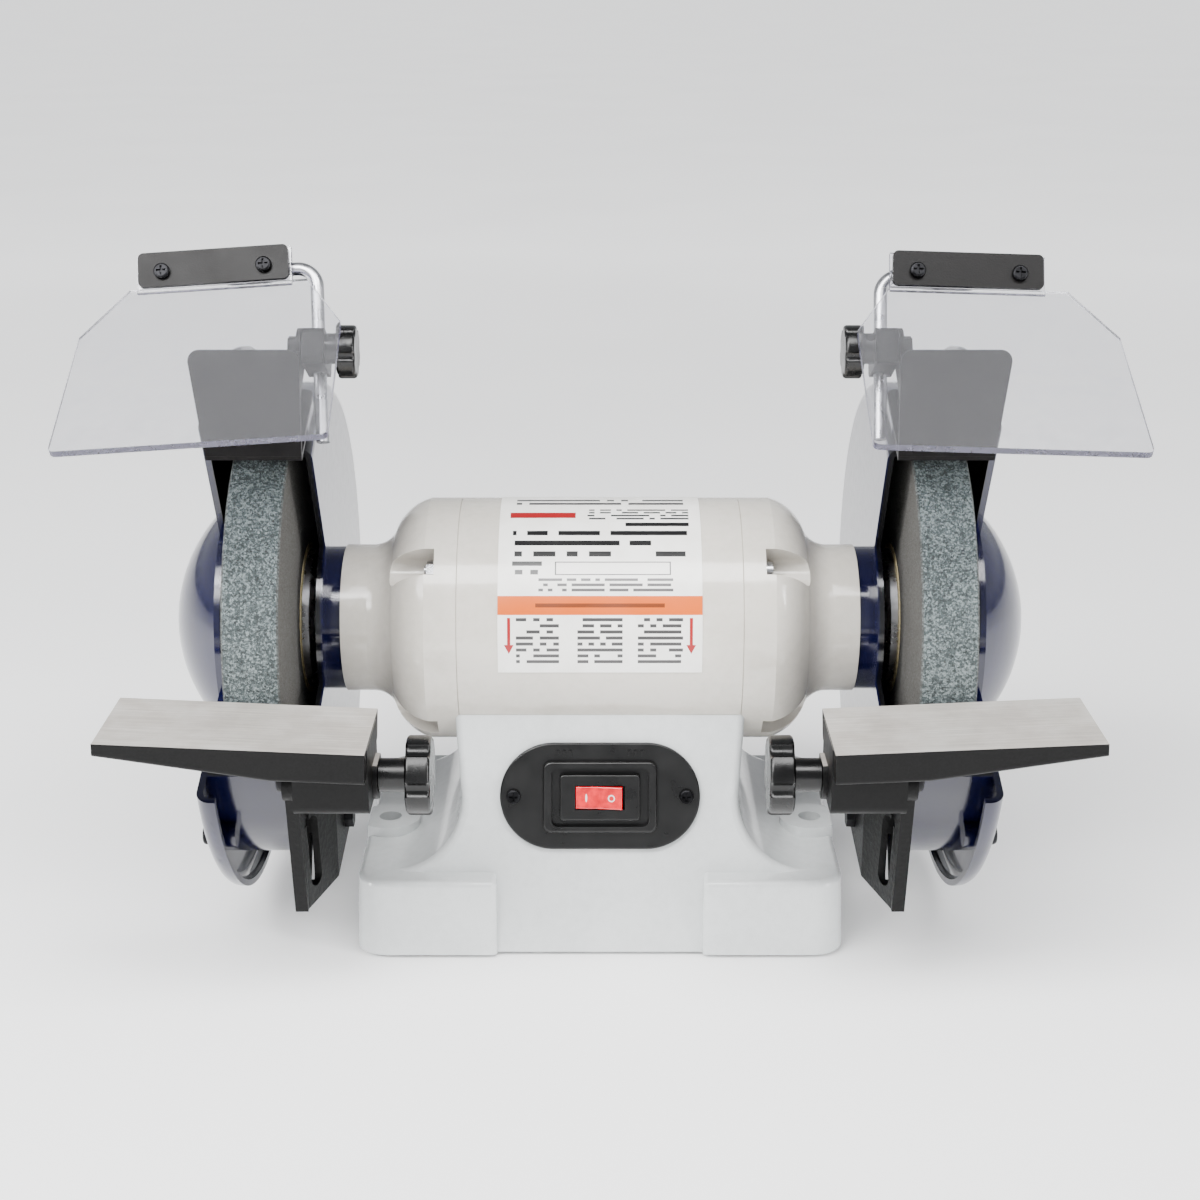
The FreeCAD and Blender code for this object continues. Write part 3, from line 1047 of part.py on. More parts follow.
def switch_plate():
    plate = plate_outline(SWITCH_WIDTH, SWITCH_HEIGHT, 0.02, SWITCH_PLATE)
    plate = rounded(plate, 0.9, lambda e: at_z(e, SWITCH_PLATE))
    hood = box(-HOOD_X / 2, HOOD_X / 2, -HOOD_Y / 2, HOOD_Y / 2, SWITCH_PLATE - 1, SWITCH_PLATE + HOOD_Z)
    hood = rounded(hood, 4.0, upright)
    hood = rounded(hood, 1.2, lambda e: at_z(e, SWITCH_PLATE + HOOD_Z))
    dip = box(-HOOD_X / 2 + 4, HOOD_X / 2 - 4, -HOOD_Y / 2 + 3, HOOD_Y / 2 - 3, SWITCH_PLATE,
              SWITCH_PLATE + HOOD_Z + 1)
    dip = rounded(dip, 3.0, upright)
    ribs = [box(x - 0.6, x + 0.6, y0, y0 + 3.0, SWITCH_PLATE - 0.5, SWITCH_PLATE + 0.8)
            for x in (-20, -17, -14, 14, 17, 20) for y0 in (HOOD_Y / 2 + 2.0,)]
    body = joined([plate, hood]).cut(dip)
    body = joined([body] + ribs)
    hole = box(-BODY_X / 2, BODY_X / 2, -BODY_Y / 2, BODY_Y / 2, -1, 12)
    screws = [rod_z(1.9, -1, 6, s * SWITCH_SCREW_X) for s in (1, -1)]
    return on_face(less(body, hole, *screws))


def switch_screws():
    shapes = []
    for s in (1, -1):
        x = s * SWITCH_SCREW_X
        top = SWITCH_PLATE + 2.2
        head = rounded(rod_z(3.4, SWITCH_PLATE, top, x), 1.0, lambda e: at_z(e, SWITCH_PLATE + 2.2))
        cross = [box(x - 2, x + 2, -0.5, 0.5, top - 1.2, top + 1),
                 box(x - 0.5, x + 0.5, -2, 2, top - 1.2, top + 1)]
        shapes.append(less(head, *cross).fuse(rod_z(1.6, -9, SWITCH_PLATE, x)).removeSplitter())
    return on_face(Part.makeCompound(shapes))


def switch_body():
    bezel = box(-BEZEL_X / 2, BEZEL_X / 2, -BEZEL_Y / 2, BEZEL_Y / 2, SWITCH_PLATE + 0.02, BEZEL_Z)
    bezel = rounded(bezel, 2.0, upright)
    bezel = rounded(bezel, 0.9, lambda e: at_z(e, BEZEL_Z))
    body = box(-BODY_X / 2 + 0.1, BODY_X / 2 - 0.1, -BODY_Y / 2 + 0.1, BODY_Y / 2 - 0.1,
               -BODY_DEPTH, BEZEL_Z - 1)
    room = box(-ROCKER_X / 2 - ROCKER_PLAY, ROCKER_X / 2 + ROCKER_PLAY, -ROCKER_Y / 2 - 0.35,
               ROCKER_Y / 2 + 0.35, -2.5, BEZEL_Z + 1)
    pin = Part.makeCylinder(1.3, ROCKER_Y + 3, V(0, -ROCKER_Y / 2 - 1.5, PIVOT_UP - 1.0), Y)
    tabs = [box(x - 0.4, x + 0.4, -3, 3, -BODY_DEPTH - 7, -BODY_DEPTH + 1) for x in (-9, 0, 9)]
    return on_face(less(joined([bezel, body] + tabs), room, pin))


def rocker():
    """Rocker button, at rest with its left end pressed in."""
    half = ROCKER_X / 2
    points = [(-half, 7.9), (0, 6.5), (half, 7.9), (half - 0.4, 2.2), (0, 0.4), (-half + 0.4, 2.2)]
    outline = [V(x, -ROCKER_Y / 2, z) for x, z in points]
    body = Part.Face(Part.makePolygon(outline + outline[:1])).extrude(V(0, ROCKER_Y, 0))
    body = rounded(body, 0.7, lambda e: e.BoundBox.ZMin > 6.4)
    pin = Part.makeCylinder(1.2, ROCKER_Y + 2.4, V(0, -ROCKER_Y / 2 - 1.2, PIVOT_UP - 1.0), Y)
    body = joined([body, pin])
    body.rotate(V(0, 0, PIVOT_UP - 1.0), Y, -ROCKER_SWING)
    return on_face(body)


def main():
    os.makedirs(PARTS, exist_ok=True)
    for name, made in (("base", base()), ("base_plate", base_plate()),
                       ("base_plate_screws", base_plate_screws()), ("rubber_feet", rubber_feet()),
                       ("saddle_bolts", saddle_bolts()), ("run_capacitor", run_capacitor()),
                       ("cord_gland", cord_gland()), ("switch_plate", switch_plate()),
                       ("switch_screws", switch_screws()), ("switch_body", switch_body()),
                       ("switch_rocker", rocker())):
        save(name, made)
    for name, made in (("stator_housing", stator_housing()), ("stator_core", stator_core()),
                       ("stator_winding", stator_winding()), ("tie_bolts", tie_bolts()),
                       ("rating_plate", rating_plate()), ("bearing_outer_races", bearing_outer_races()),
                       ("bearing_inner_races", bearing_inner_races()), ("shaft", shaft()),
                       ("rotor_core", rotor_core()), ("blotters", blotters()),
                       ("inner_flanges", both(flange(inner_flange_x(), 1))),
                       ("outer_flanges", both(flange(outer_flange_x(), -1))),
                       ("guard_screws", guard_screws()), ("cover_screws", cover_screws()),
                       ("arm_bolts", arm_bolts()), ("arrestor_screws", arrestor_screws())):
        save(name, lifted(made))
    for side, flip in (("right", lambda s: s), ("left", mirrored)):
        for name, made in (("end_bell", end_bell()), ("grinding_wheel", grinding_wheel()),
                           ("arbor_nut", arbor_nut()), ("wheel_guard", wheel_guard()),
                           ("guard_cover", guard_cover()), ("rest_arm", rest_arm()),
                           ("tool_rest", tool_rest()), ("rest_stud", rest_stud()),
                           ("rest_knob", rest_knob()), ("spark_arrestor", spark_arrestor()),
                           ("clamp_block", clamp_block(side)), ("clamp_knob", clamp_knob()),
                           ("shield_rod", shield_rod(side)), ("eye_shield", eye_shield(side)),
                           ("shield_bar", shield_bar(side)), ("shield_screws", shield_screws(side))):
            save(side + "_" + name, lifted(flip(made)))


main()
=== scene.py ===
import json
import math

import bmesh
import bpy
from mathutils import Matrix, Vector


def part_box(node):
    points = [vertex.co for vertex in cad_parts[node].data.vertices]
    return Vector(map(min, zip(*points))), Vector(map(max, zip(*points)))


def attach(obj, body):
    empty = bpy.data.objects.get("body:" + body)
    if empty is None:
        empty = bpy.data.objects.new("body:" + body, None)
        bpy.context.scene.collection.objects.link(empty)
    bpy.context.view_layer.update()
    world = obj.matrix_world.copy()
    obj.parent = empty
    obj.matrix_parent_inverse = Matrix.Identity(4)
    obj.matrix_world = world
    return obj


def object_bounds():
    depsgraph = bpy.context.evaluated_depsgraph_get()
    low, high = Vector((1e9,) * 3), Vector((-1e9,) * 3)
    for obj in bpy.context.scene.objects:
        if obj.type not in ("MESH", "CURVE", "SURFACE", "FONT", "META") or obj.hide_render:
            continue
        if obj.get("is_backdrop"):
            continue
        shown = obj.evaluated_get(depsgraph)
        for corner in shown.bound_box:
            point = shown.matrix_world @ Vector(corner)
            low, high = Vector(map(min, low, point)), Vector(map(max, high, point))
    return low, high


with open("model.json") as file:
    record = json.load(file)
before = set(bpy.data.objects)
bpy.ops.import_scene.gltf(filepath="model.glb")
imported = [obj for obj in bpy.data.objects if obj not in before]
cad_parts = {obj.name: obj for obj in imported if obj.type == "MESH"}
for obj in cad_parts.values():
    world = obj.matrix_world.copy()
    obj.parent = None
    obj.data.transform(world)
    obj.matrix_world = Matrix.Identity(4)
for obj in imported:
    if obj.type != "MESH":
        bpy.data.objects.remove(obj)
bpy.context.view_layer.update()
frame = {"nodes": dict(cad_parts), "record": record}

MM = 0.001
SIDES = (("right", 1), ("left", -1))
PLASTIC_IOR = 1.49
PAINT_IOR = 1.52


# ---------------------------------------------------------------- places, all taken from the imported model
def middle(node):
    low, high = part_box(node)
    return (low + high) / 2


SPINDLE = middle("shaft")
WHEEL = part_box("right_grinding_wheel")
WHEEL_RADIUS = (WHEEL[1].z - WHEEL[0].z) / 2
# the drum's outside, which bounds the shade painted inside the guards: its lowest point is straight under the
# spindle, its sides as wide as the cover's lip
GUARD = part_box("right_wheel_guard")
DRUM_WIDTH = 45.2 * MM
DRUM_MARGIN = 0.3 * MM
DRUM_SKIN = 0.8 * MM
DRUM_RADIUS = SPINDLE.z - GUARD[0].z
DRUM_SIDES = (GUARD[1].x - DRUM_WIDTH, GUARD[1].x + DRUM_MARGIN)


# ---------------------------------------------------------------- small helpers for materials
def linear(hex_colour, alpha=1.0):
    """An sRGB hex colour as the linear values that shaders take."""
    parts = [int(hex_colour[i:i + 2], 16) / 255 for i in (1, 3, 5)]
    return [p / 12.92 if p <= 0.04045 else ((p + 0.055) / 1.055) ** 2.4 for p in parts] + [alpha]


def put(tree, kind, inputs=None, **settings):
    """Adds a node with its settings; each input is a value or the output that feeds it."""
    made = tree.nodes.new(kind)
    for name, value in settings.items():
        setattr(made, name, value)
    for key, value in (inputs or {}).items():
        if isinstance(value, bpy.types.NodeSocket):
            tree.links.new(value, made.inputs[key])
        else:
            made.inputs[key].default_value = value
    return made


def ramp(tree, factor, stops):
    """A colour ramp from a list of (position, hex colour)."""
    made = put(tree, "ShaderNodeValToRGB", {"Fac": factor})
    while len(made.color_ramp.elements) < len(stops):
        made.color_ramp.elements.new(0.5)
    for element, (place, shade) in zip(made.color_ramp.elements, stops):
        element.position = place
        element.color = linear(shade)
    return made.outputs["Color"]


def spread(tree, noise, low, high):
    """The middle part of a noise value, carried over to the range from low to high."""
    return put(tree, "ShaderNodeMapRange", {0: noise, 1: 0.3, 2: 0.7, 3: low, 4: high})


def per(mm):
    """The scale that makes one feature of a pattern this many millimetres across."""
    return 1.0 / (mm * MM)


def new_material(name, **surface):
    """A material with one Principled shader, its even properties set on the shader itself."""
    made = bpy.data.materials.new(name)
    made.use_nodes = True
    tree = made.node_tree
    shader = tree.nodes["Principled BSDF"]
    for key, value in surface.items():
        shader.inputs[key.replace("_", " ")].default_value = value
    place = put(tree, "ShaderNodeTexCoord")
    return made, tree, shader, place


def feed(tree, shader, **sockets):
    for key, value in sockets.items():
        tree.links.new(value, shader.inputs[key.replace("_", " ")])


# ---------------------------------------------------------------- materials
def gloss_enamel(name, body, shade, peel_mm, cast_mm, cast_depth, gloss, coat=0.5, inside=None):
    """Stoved gloss paint: a smooth wet-looking coat with faint orange peel, over metal whose slow waves show
    in the highlights, with a little dust grey in the colour. inside is painted shade: a near-black colour laid
    over a pressing's inside and cut edges, as far as its drum reaches, standing in for the shade there."""
    made, tree, shader, place = new_material(name, IOR=PAINT_IOR, Coat_Weight=coat, Coat_Roughness=0.05)
    at = place.outputs["Object"]
    slow = put(tree, "ShaderNodeTexNoise", {"Vector": at, "Scale": per(38), "Detail": 3.0})
    dust = put(tree, "ShaderNodeTexNoise",
               {"Vector": at, "Scale": per(4.5), "Detail": 5.0, "Roughness": 0.65})
    blend = put(tree, "ShaderNodeMath",
                {0: slow.outputs["Fac"], 1: dust.outputs["Fac"]}, operation="MULTIPLY")
    paint = ramp(tree, blend.outputs[0], [(0.10, shade), (0.30, body)])
    specks = put(tree, "ShaderNodeTexVoronoi", {"Vector": at, "Scale": per(7.0)}, feature="F1")
    spot = put(tree, "ShaderNodeMath", {0: specks.outputs["Distance"], 1: 0.035}, operation="LESS_THAN")
    fleck = put(tree, "ShaderNodeMix", {0: spot.outputs[0], 6: paint, 7: linear(shade)}, data_type="RGBA")
    peel = put(tree, "ShaderNodeTexNoise", {"Vector": at, "Scale": per(peel_mm), "Detail": 2.0})
    cast = put(tree, "ShaderNodeTexNoise", {"Vector": at, "Scale": per(cast_mm), "Detail": 2.0})
    low = put(tree, "ShaderNodeBump", {"Height": cast.outputs["Fac"], "Distance": cast_depth * MM})
    bump = put(tree, "ShaderNodeBump", {"Height": peel.outputs["Fac"], "Distance": 0.018 * MM,
                                        "Normal": low.outputs[0]})
    rough = spread(tree, dust.outputs["Fac"], gloss, gloss + 0.10)
    colour = fleck.outputs[2]
    # painted shade: inside the drum the paint colour gives way to a near-black one, standing in for the shade
    # there
    if inside:
        colour = put(tree, "ShaderNodeMix", {0: painted_shade_in_drum(tree, at), 6: colour, 7: linear(inside)},
                     data_type="RGBA").outputs[2]
    feed(tree, shader, Base_Color=colour, Roughness=rough.outputs[0], Normal=bump.outputs[0])
    return made


def painted_shade_in_drum(tree, at):
    """The mask of the painted shade: 1 inside a guard's drum and on its cut edges, 0 on its outside: the
    drum's radius and its two sides.
    """
    from_spindle = put(tree, "ShaderNodeMapping", {"Vector": at, "Location": (0.0, -SPINDLE.y, -SPINDLE.z)})
    split = put(tree, "ShaderNodeSeparateXYZ", {0: from_spindle.outputs[0]})
    flat = put(tree, "ShaderNodeCombineXYZ", {1: split.outputs["Y"], 2: split.outputs["Z"]})
    radius = put(tree, "ShaderNodeVectorMath", {0: flat.outputs[0]}, operation="LENGTH")
    near = put(tree, "ShaderNodeMath", {0: radius.outputs["Value"], 1: DRUM_RADIUS - DRUM_SKIN},
               operation="LESS_THAN")
    out = put(tree, "ShaderNodeMath", {0: split.outputs["X"]}, operation="ABSOLUTE")
    half = (DRUM_SIDES[1] - DRUM_SIDES[0]) / 2
    between = put(tree, "ShaderNodeMath", {0: out.outputs[0], 1: (DRUM_SIDES[0] + DRUM_SIDES[1]) / 2,
                                           2: half}, operation="COMPARE")
    return put(tree, "ShaderNodeMath", {0: near.outputs[0], 1: between.outputs[0]},
               operation="MULTIPLY").outputs[0]


def sand_cast_iron():
    """Grey iron from a sand mould under one coat of black: a fine pebbled skin with soft broad glints."""
    made, tree, shader, place = new_material("sand_cast_iron_black", IOR=PAINT_IOR, Specular_IOR_Level=0.14)
    at = place.outputs["Object"]
    grain = put(tree, "ShaderNodeTexNoise",
                {"Vector": at, "Scale": per(1.1), "Detail": 4.0, "Roughness": 0.6})
    pits = put(tree, "ShaderNodeTexVoronoi", {"Vector": at, "Scale": per(2.6), "Randomness": 1.0})
    shade = ramp(tree, grain.outputs["Fac"], [(0.30, "#020202"), (0.70, "#070707")])
    fine = put(tree, "ShaderNodeBump", {"Height": grain.outputs["Fac"], "Distance": 0.10 * MM})
    deep = put(tree, "ShaderNodeBump", {"Height": pits.outputs["Distance"], "Distance": 0.12 * MM,
                                        "Normal": fine.outputs[0]})
    rough = spread(tree, grain.outputs["Fac"], 0.34, 0.52)
    feed(tree, shader, Base_Color=shade, Roughness=rough.outputs[0], Normal=deep.outputs[0])
    return made


def satin_black_sheet():
    """Mild steel sheet with satin black powder paint: an even fine grain and a dull sheen."""
    made, tree, shader, place = new_material("powder_painted_steel_black", IOR=PAINT_IOR,
                                             Specular_IOR_Level=0.16)
    at = place.outputs["Object"]
    grain = put(tree, "ShaderNodeTexNoise", {"Vector": at, "Scale": per(0.8), "Detail": 2.0})
    cloud = put(tree, "ShaderNodeTexNoise", {"Vector": at, "Scale": per(14), "Detail": 3.0})
    shade = ramp(tree, cloud.outputs["Fac"], [(0.30, "#040303"), (0.70, "#0A0808")])
    bump = put(tree, "ShaderNodeBump", {"Height": grain.outputs["Fac"], "Distance": 0.05 * MM})
    rough = spread(tree, cloud.outputs["Fac"], 0.34, 0.44)
    feed(tree, shader, Base_Color=shade, Roughness=rough.outputs[0], Normal=bump.outputs[0])
    return made


def moulded_plastic(name, dark, light, gloss, grain_mm):
    """Injection-moulded plastic: deep colour, a fine spark-eroded grain and a skin that is glossy on its
    highs."""
    made, tree, shader, place = new_material(name, IOR=PLASTIC_IOR, Specular_IOR_Level=0.38)
    at = place.outputs["Object"]
    grain = put(tree, "ShaderNodeTexNoise", {"Vector": at, "Scale": per(grain_mm), "Detail": 3.0})
    handled = put(tree, "ShaderNodeTexNoise", {"Vector": at, "Scale": per(11), "Detail": 4.0})
    shade = ramp(tree, handled.outputs["Fac"], [(0.32, dark), (0.72, light)])
    bump = put(tree, "ShaderNodeBump", {"Height": grain.outputs["Fac"], "Distance": 0.03 * MM})
    rough = spread(tree, handled.outputs["Fac"], gloss, gloss + 0.12)
    feed(tree, shader, Base_Color=shade, Roughness=rough.outputs[0], Normal=bump.outputs[0])
    return made


def turned_steel(name, bright, dull, line_mm, gloss):
    """Steel straight from the lathe: fine rings of tool marks across the axis, and bright flanks."""
    made, tree, shader, place = new_material(name, Metallic=1.0)
    at = place.outputs["Object"]
    squash = put(tree, "ShaderNodeMapping", {"Vector": at, "Scale": (per(line_mm), per(30), per(30))})
    marks = put(tree, "ShaderNodeTexNoise", {"Vector": squash.outputs[0], "Scale": 1.0, "Detail": 2.0})
    cloud = put(tree, "ShaderNodeTexNoise", {"Vector": at, "Scale": per(6), "Detail": 3.0})
    shade = ramp(tree, cloud.outputs["Fac"], [(0.3, dull), (0.7, bright)])
    bump = put(tree, "ShaderNodeBump", {"Height": marks.outputs["Fac"], "Distance": 0.02 * MM})
    rough = spread(tree, cloud.outputs["Fac"], gloss, gloss + 0.15)
    feed(tree, shader, Base_Color=shade, Roughness=rough.outputs[0], Normal=bump.outputs[0])
    return made


def ground_top_iron(side_rise):
    """A cast rest whose top was ground: pale metal with fine lines from side to side on the top, and black
    paint with a cast skin on every other side."""
    made, tree, shader, place = new_material("ground_cast_iron" + ("_left" if side_rise < 0 else "_right"),
                                             Specular_IOR_Level=0.16)
    at = place.outputs["Object"]
    up = put(tree, "ShaderNodeVectorMath", {0: place.outputs["Normal"], 1: (-side_rise, 0.0, 1.0)},
             operation="DOT_PRODUCT")
    top = put(tree, "ShaderNodeMapRange", {0: up.outputs["Value"], 1: 0.965, 2: 0.985, 3: 0.0, 4: 1.0})
    lines = put(tree, "ShaderNodeMapping", {"Vector": at, "Scale": (per(45), per(0.7), per(45))})
    streaks = put(tree, "ShaderNodeTexNoise", {"Vector": lines.outputs[0], "Scale": 1.0, "Detail": 4.0})
    stain = put(tree, "ShaderNodeTexNoise",
                {"Vector": at, "Scale": per(22), "Detail": 5.0, "Roughness": 0.6})
    cut = ramp(tree, streaks.outputs["Fac"], [(0.30, "#A8A39C"), (0.55, "#CBC6BF"), (0.75, "#E6E2DB")])
    warm = ramp(tree, stain.outputs["Fac"], [(0.35, "#BDB5AC"), (0.65, "#E6E2DC")])
    metal = put(tree, "ShaderNodeMix", {0: 0.45, 6: cut, 7: warm}, data_type="RGBA", blend_type="MIX")
    skin = put(tree, "ShaderNodeTexNoise", {"Vector": at, "Scale": per(1.1), "Detail": 4.0})
    black = ramp(tree, skin.outputs["Fac"], [(0.30, "#020202"), (0.70, "#080808")])
    shade = put(tree, "ShaderNodeMix", {0: top.outputs[0], 6: black, 7: metal.outputs[2]}, data_type="RGBA")
    height = put(tree, "ShaderNodeMix",
                 {0: top.outputs[0], 2: skin.outputs["Fac"], 3: streaks.outputs["Fac"]})
    bump = put(tree, "ShaderNodeBump", {"Height": height.outputs[0], "Distance": 0.05 * MM, "Strength": 0.7})
    rough = spread(tree, streaks.outputs["Fac"], 0.34, 0.50)
    bare = put(tree, "ShaderNodeMath", {0: top.outputs[0], 1: 0.55}, operation="MULTIPLY")
    feed(tree, shader, Base_Color=shade.outputs[2], Metallic=bare.outputs[0], Roughness=rough.outputs[0],
         Normal=bump.outputs[0])
    return made


def vitrified_grit(name, tones, rough_low):
    """Bonded aluminium oxide: grey-green grains, some pale, some dark, with pores between. The grain is drawn
    at 0.9 mm, a little over its real size, so that it shows. The flat sides are browner and darker than the
    worn face: partly their own smoother finish, partly painted shade, as the sides stand in shade."""
    made, tree, shader, place = new_material(name, IOR=1.6)
    at = place.outputs["Object"]
    grains = put(tree, "ShaderNodeTexVoronoi", {"Vector": at, "Scale": per(0.9), "Randomness": 1.0})
    fine = put(tree, "ShaderNodeTexVoronoi", {"Vector": at, "Scale": per(0.5), "Randomness": 1.0})
    bands = put(tree, "ShaderNodeTexNoise", {"Vector": at, "Scale": per(16), "Detail": 4.0})
    pick = put(tree, "ShaderNodeSeparateColor", {0: grains.outputs["Color"]})
    second = put(tree, "ShaderNodeSeparateColor", {0: fine.outputs["Color"]})
    both = put(tree, "ShaderNodeMix", {0: 0.42, 2: pick.outputs[0], 3: second.outputs[1]})
    drift = put(tree, "ShaderNodeMath", {0: bands.outputs["Fac"], 1: 0.30, 2: both.outputs[0]},
                operation="MULTIPLY_ADD")
    face = ramp(tree, drift.outputs[0], tones)
    # partly painted shade: faces that look along the spindle are mixed toward dark brown #3D3833, in part the
    # sides' own finish and in part the shade they stand in
    across = put(tree, "ShaderNodeSeparateXYZ", {0: place.outputs["Normal"]})
    side = put(tree, "ShaderNodeMath", {0: across.outputs["X"]}, operation="ABSOLUTE")
    aside = put(tree, "ShaderNodeMapRange", {0: side.outputs[0], 1: 0.6, 2: 0.8, 3: 0.0, 4: 0.8})
    shade = put(tree, "ShaderNodeMix", {0: aside.outputs[0], 6: face, 7: linear("#3D3833")},
                data_type="RGBA").outputs[2]
    deep = put(tree, "ShaderNodeBump", {"Height": grains.outputs["Distance"], "Distance": 0.35 * MM})
    bump = put(tree, "ShaderNodeBump", {"Height": fine.outputs["Distance"], "Distance": 0.25 * MM,
                                        "Normal": deep.outputs[0]})
    rough = put(tree, "ShaderNodeMapRange", {0: pick.outputs[1], 1: 0.0, 2: 1.0, 3: rough_low, 4: 0.95})
    feed(tree, shader, Base_Color=shade, Roughness=rough.outputs[0], Normal=bump.outputs[0])
    return made


def clear_polycarbonate(name, pane_normal):
    """Extruded polycarbonate sheet, sawn to size: clear faces with faint rubbed streaks, and edges that
    gather light and look pale violet."""
    made, tree, shader, place = new_material(name, IOR=1.585, Transmission_Weight=0.96)
    at = place.outputs["Object"]
    facing = put(tree, "ShaderNodeVectorMath", {0: place.outputs["Normal"], 1: pane_normal},
                 operation="DOT_PRODUCT")
    flat = put(tree, "ShaderNodeMath", {0: facing.outputs["Value"]}, operation="ABSOLUTE")
    edge = put(tree, "ShaderNodeMapRange", {0: flat.outputs[0], 1: 0.35, 2: 0.75, 3: 1.0, 4: 0.0})
    rubbed = put(tree, "ShaderNodeTexNoise",
                 {"Vector": at, "Scale": per(9), "Detail": 6.0, "Roughness": 0.7})
    tint = ramp(tree, rubbed.outputs["Fac"], [(0.3, "#EDEDF1"), (0.7, "#F7F7FA")])
    shade = put(tree, "ShaderNodeMix", {0: edge.outputs[0], 6: tint, 7: linear("#A9A4D6")}, data_type="RGBA")
    rough = put(tree, "ShaderNodeMapRange", {0: rubbed.outputs["Fac"], 1: 0.45, 2: 0.75, 3: 0.015, 4: 0.06})
    soft = put(tree, "ShaderNodeMath", {0: edge.outputs[0], 1: 0.25, 2: rough.outputs[0]},
               operation="MULTIPLY_ADD")
    feed(tree, shader, Base_Color=shade.outputs[2], Roughness=soft.outputs[0])
    return made


def lit_red_plastic():
    """Clear red polycarbonate over a lamp: saturated and a little see-through, its red varying a little at
    random.
    """
    made, tree, shader, place = new_material("red_polycarbonate", IOR=1.58, Coat_Weight=0.8,
                                             Coat_Roughness=0.05,
                                             Subsurface_Weight=0.35, Subsurface_Scale=0.004)
    at = place.outputs["Object"]
    cloud = put(tree, "ShaderNodeTexNoise", {"Vector": at, "Scale": per(3.5), "Detail": 2.0})
    shade = ramp(tree, cloud.outputs["Fac"], [(0.35, "#B00010"), (0.65, "#DC0A1C")])
    bump = put(tree, "ShaderNodeBump", {"Height": cloud.outputs["Fac"], "Distance": 0.03 * MM})
    rough = spread(tree, cloud.outputs["Fac"], 0.12, 0.22)
    feed(tree, shader, Base_Color=shade, Roughness=rough.outputs[0], Normal=bump.outputs[0])
    return made


def soft_rubber():
    """Moulded rubber: nearly black, dull, with a chalky bloom."""
    made, tree, shader, place = new_material("moulded_rubber", IOR=1.5)
    at = place.outputs["Object"]
    bloom = put(tree, "ShaderNodeTexNoise", {"Vector": at, "Scale": per(5), "Detail": 5.0})
    grain = put(tree, "ShaderNodeTexNoise", {"Vector": at, "Scale": per(0.7), "Detail": 2.0})
    shade = ramp(tree, bloom.outputs["Fac"], [(0.3, "#131313"), (0.75, "#2B2A29")])
    bump = put(tree, "ShaderNodeBump", {"Height": grain.outputs["Fac"], "Distance": 0.04 * MM})
    rough = spread(tree, bloom.outputs["Fac"], 0.62, 0.8)
    feed(tree, shader, Base_Color=shade, Roughness=rough.outputs[0], Normal=bump.outputs[0])
    return made


def stacked_laminations():
    """Punched electrical steel sheets: thin dark gaps across the spindle between blue-grey edges. The sheets
    are drawn 1 mm thick, twice the real thickness, so that they show."""
    made, tree, shader, place = new_material("stacked_electrical_steel", Metallic=0.85)
    along = put(tree, "ShaderNodeSeparateXYZ", {0: place.outputs["Object"]})
    sheets = put(tree, "ShaderNodeMath", {0: along.outputs["X"], 1: 1.0 * MM}, operation="PINGPONG")
    level = put(tree, "ShaderNodeMath", {0: sheets.outputs[0], 1: per(1.0)}, operation="MULTIPLY")
    shade = ramp(tree, level.outputs[0], [(0.0, "#2C2E31"), (0.2, "#74777A"), (1.0, "#85888B")])
    rust = put(tree, "ShaderNodeTexNoise",
               {"Vector": place.outputs["Object"], "Scale": per(8), "Detail": 4.0})
    rough = spread(tree, rust.outputs["Fac"], 0.35, 0.6)
    bump = put(tree, "ShaderNodeBump", {"Height": level.outputs[0], "Distance": 0.1 * MM})
    feed(tree, shader, Base_Color=shade, Roughness=rough.outputs[0], Normal=bump.outputs[0])
    return made


def wound_copper():
    """Enamelled copper wire laid in turns: amber varnish over bright metal, ridged along the turns."""
    made, tree, shader, place = new_material("enamelled_copper_wire", Metallic=0.9, Coat_Weight=0.6,
                                             Coat_Roughness=0.15)
    at = place.outputs["Object"]
    long_way = put(tree, "ShaderNodeMapping", {"Vector": at, "Scale": (per(1.2), per(14), per(14))})
    turns = put(tree, "ShaderNodeTexNoise", {"Vector": long_way.outputs[0], "Scale": 1.0, "Detail": 3.0})
    shade = ramp(tree, turns.outputs["Fac"], [(0.3, "#7A3514"), (0.7, "#C5692F")])
    bump = put(tree, "ShaderNodeBump", {"Height": turns.outputs["Fac"], "Distance": 0.4 * MM})
    rough = spread(tree, turns.outputs["Fac"], 0.25, 0.45)
    feed(tree, shader, Base_Color=shade, Roughness=rough.outputs[0], Normal=bump.outputs[0])
    return made


def pressed_card():
    """Blotting card: buff paper with loose fibres, quite matt."""
    made, tree, shader, place = new_material("pressed_card", IOR=1.45)
    at = place.outputs["Object"]
    fibres = put(tree, "ShaderNodeTexNoise",
                 {"Vector": at, "Scale": per(1.4), "Detail": 6.0, "Roughness": 0.7})
    shade = ramp(tree, fibres.outputs["Fac"], [(0.3, "#9A8C68"), (0.7, "#C6B88F")])
    bump = put(tree, "ShaderNodeBump", {"Height": fibres.outputs["Fac"], "Distance": 0.08 * MM})
    rough = spread(tree, fibres.outputs["Fac"], 0.8, 0.95)
    feed(tree, shader, Base_Color=shade, Roughness=rough.outputs[0], Normal=bump.outputs[0])
    return made


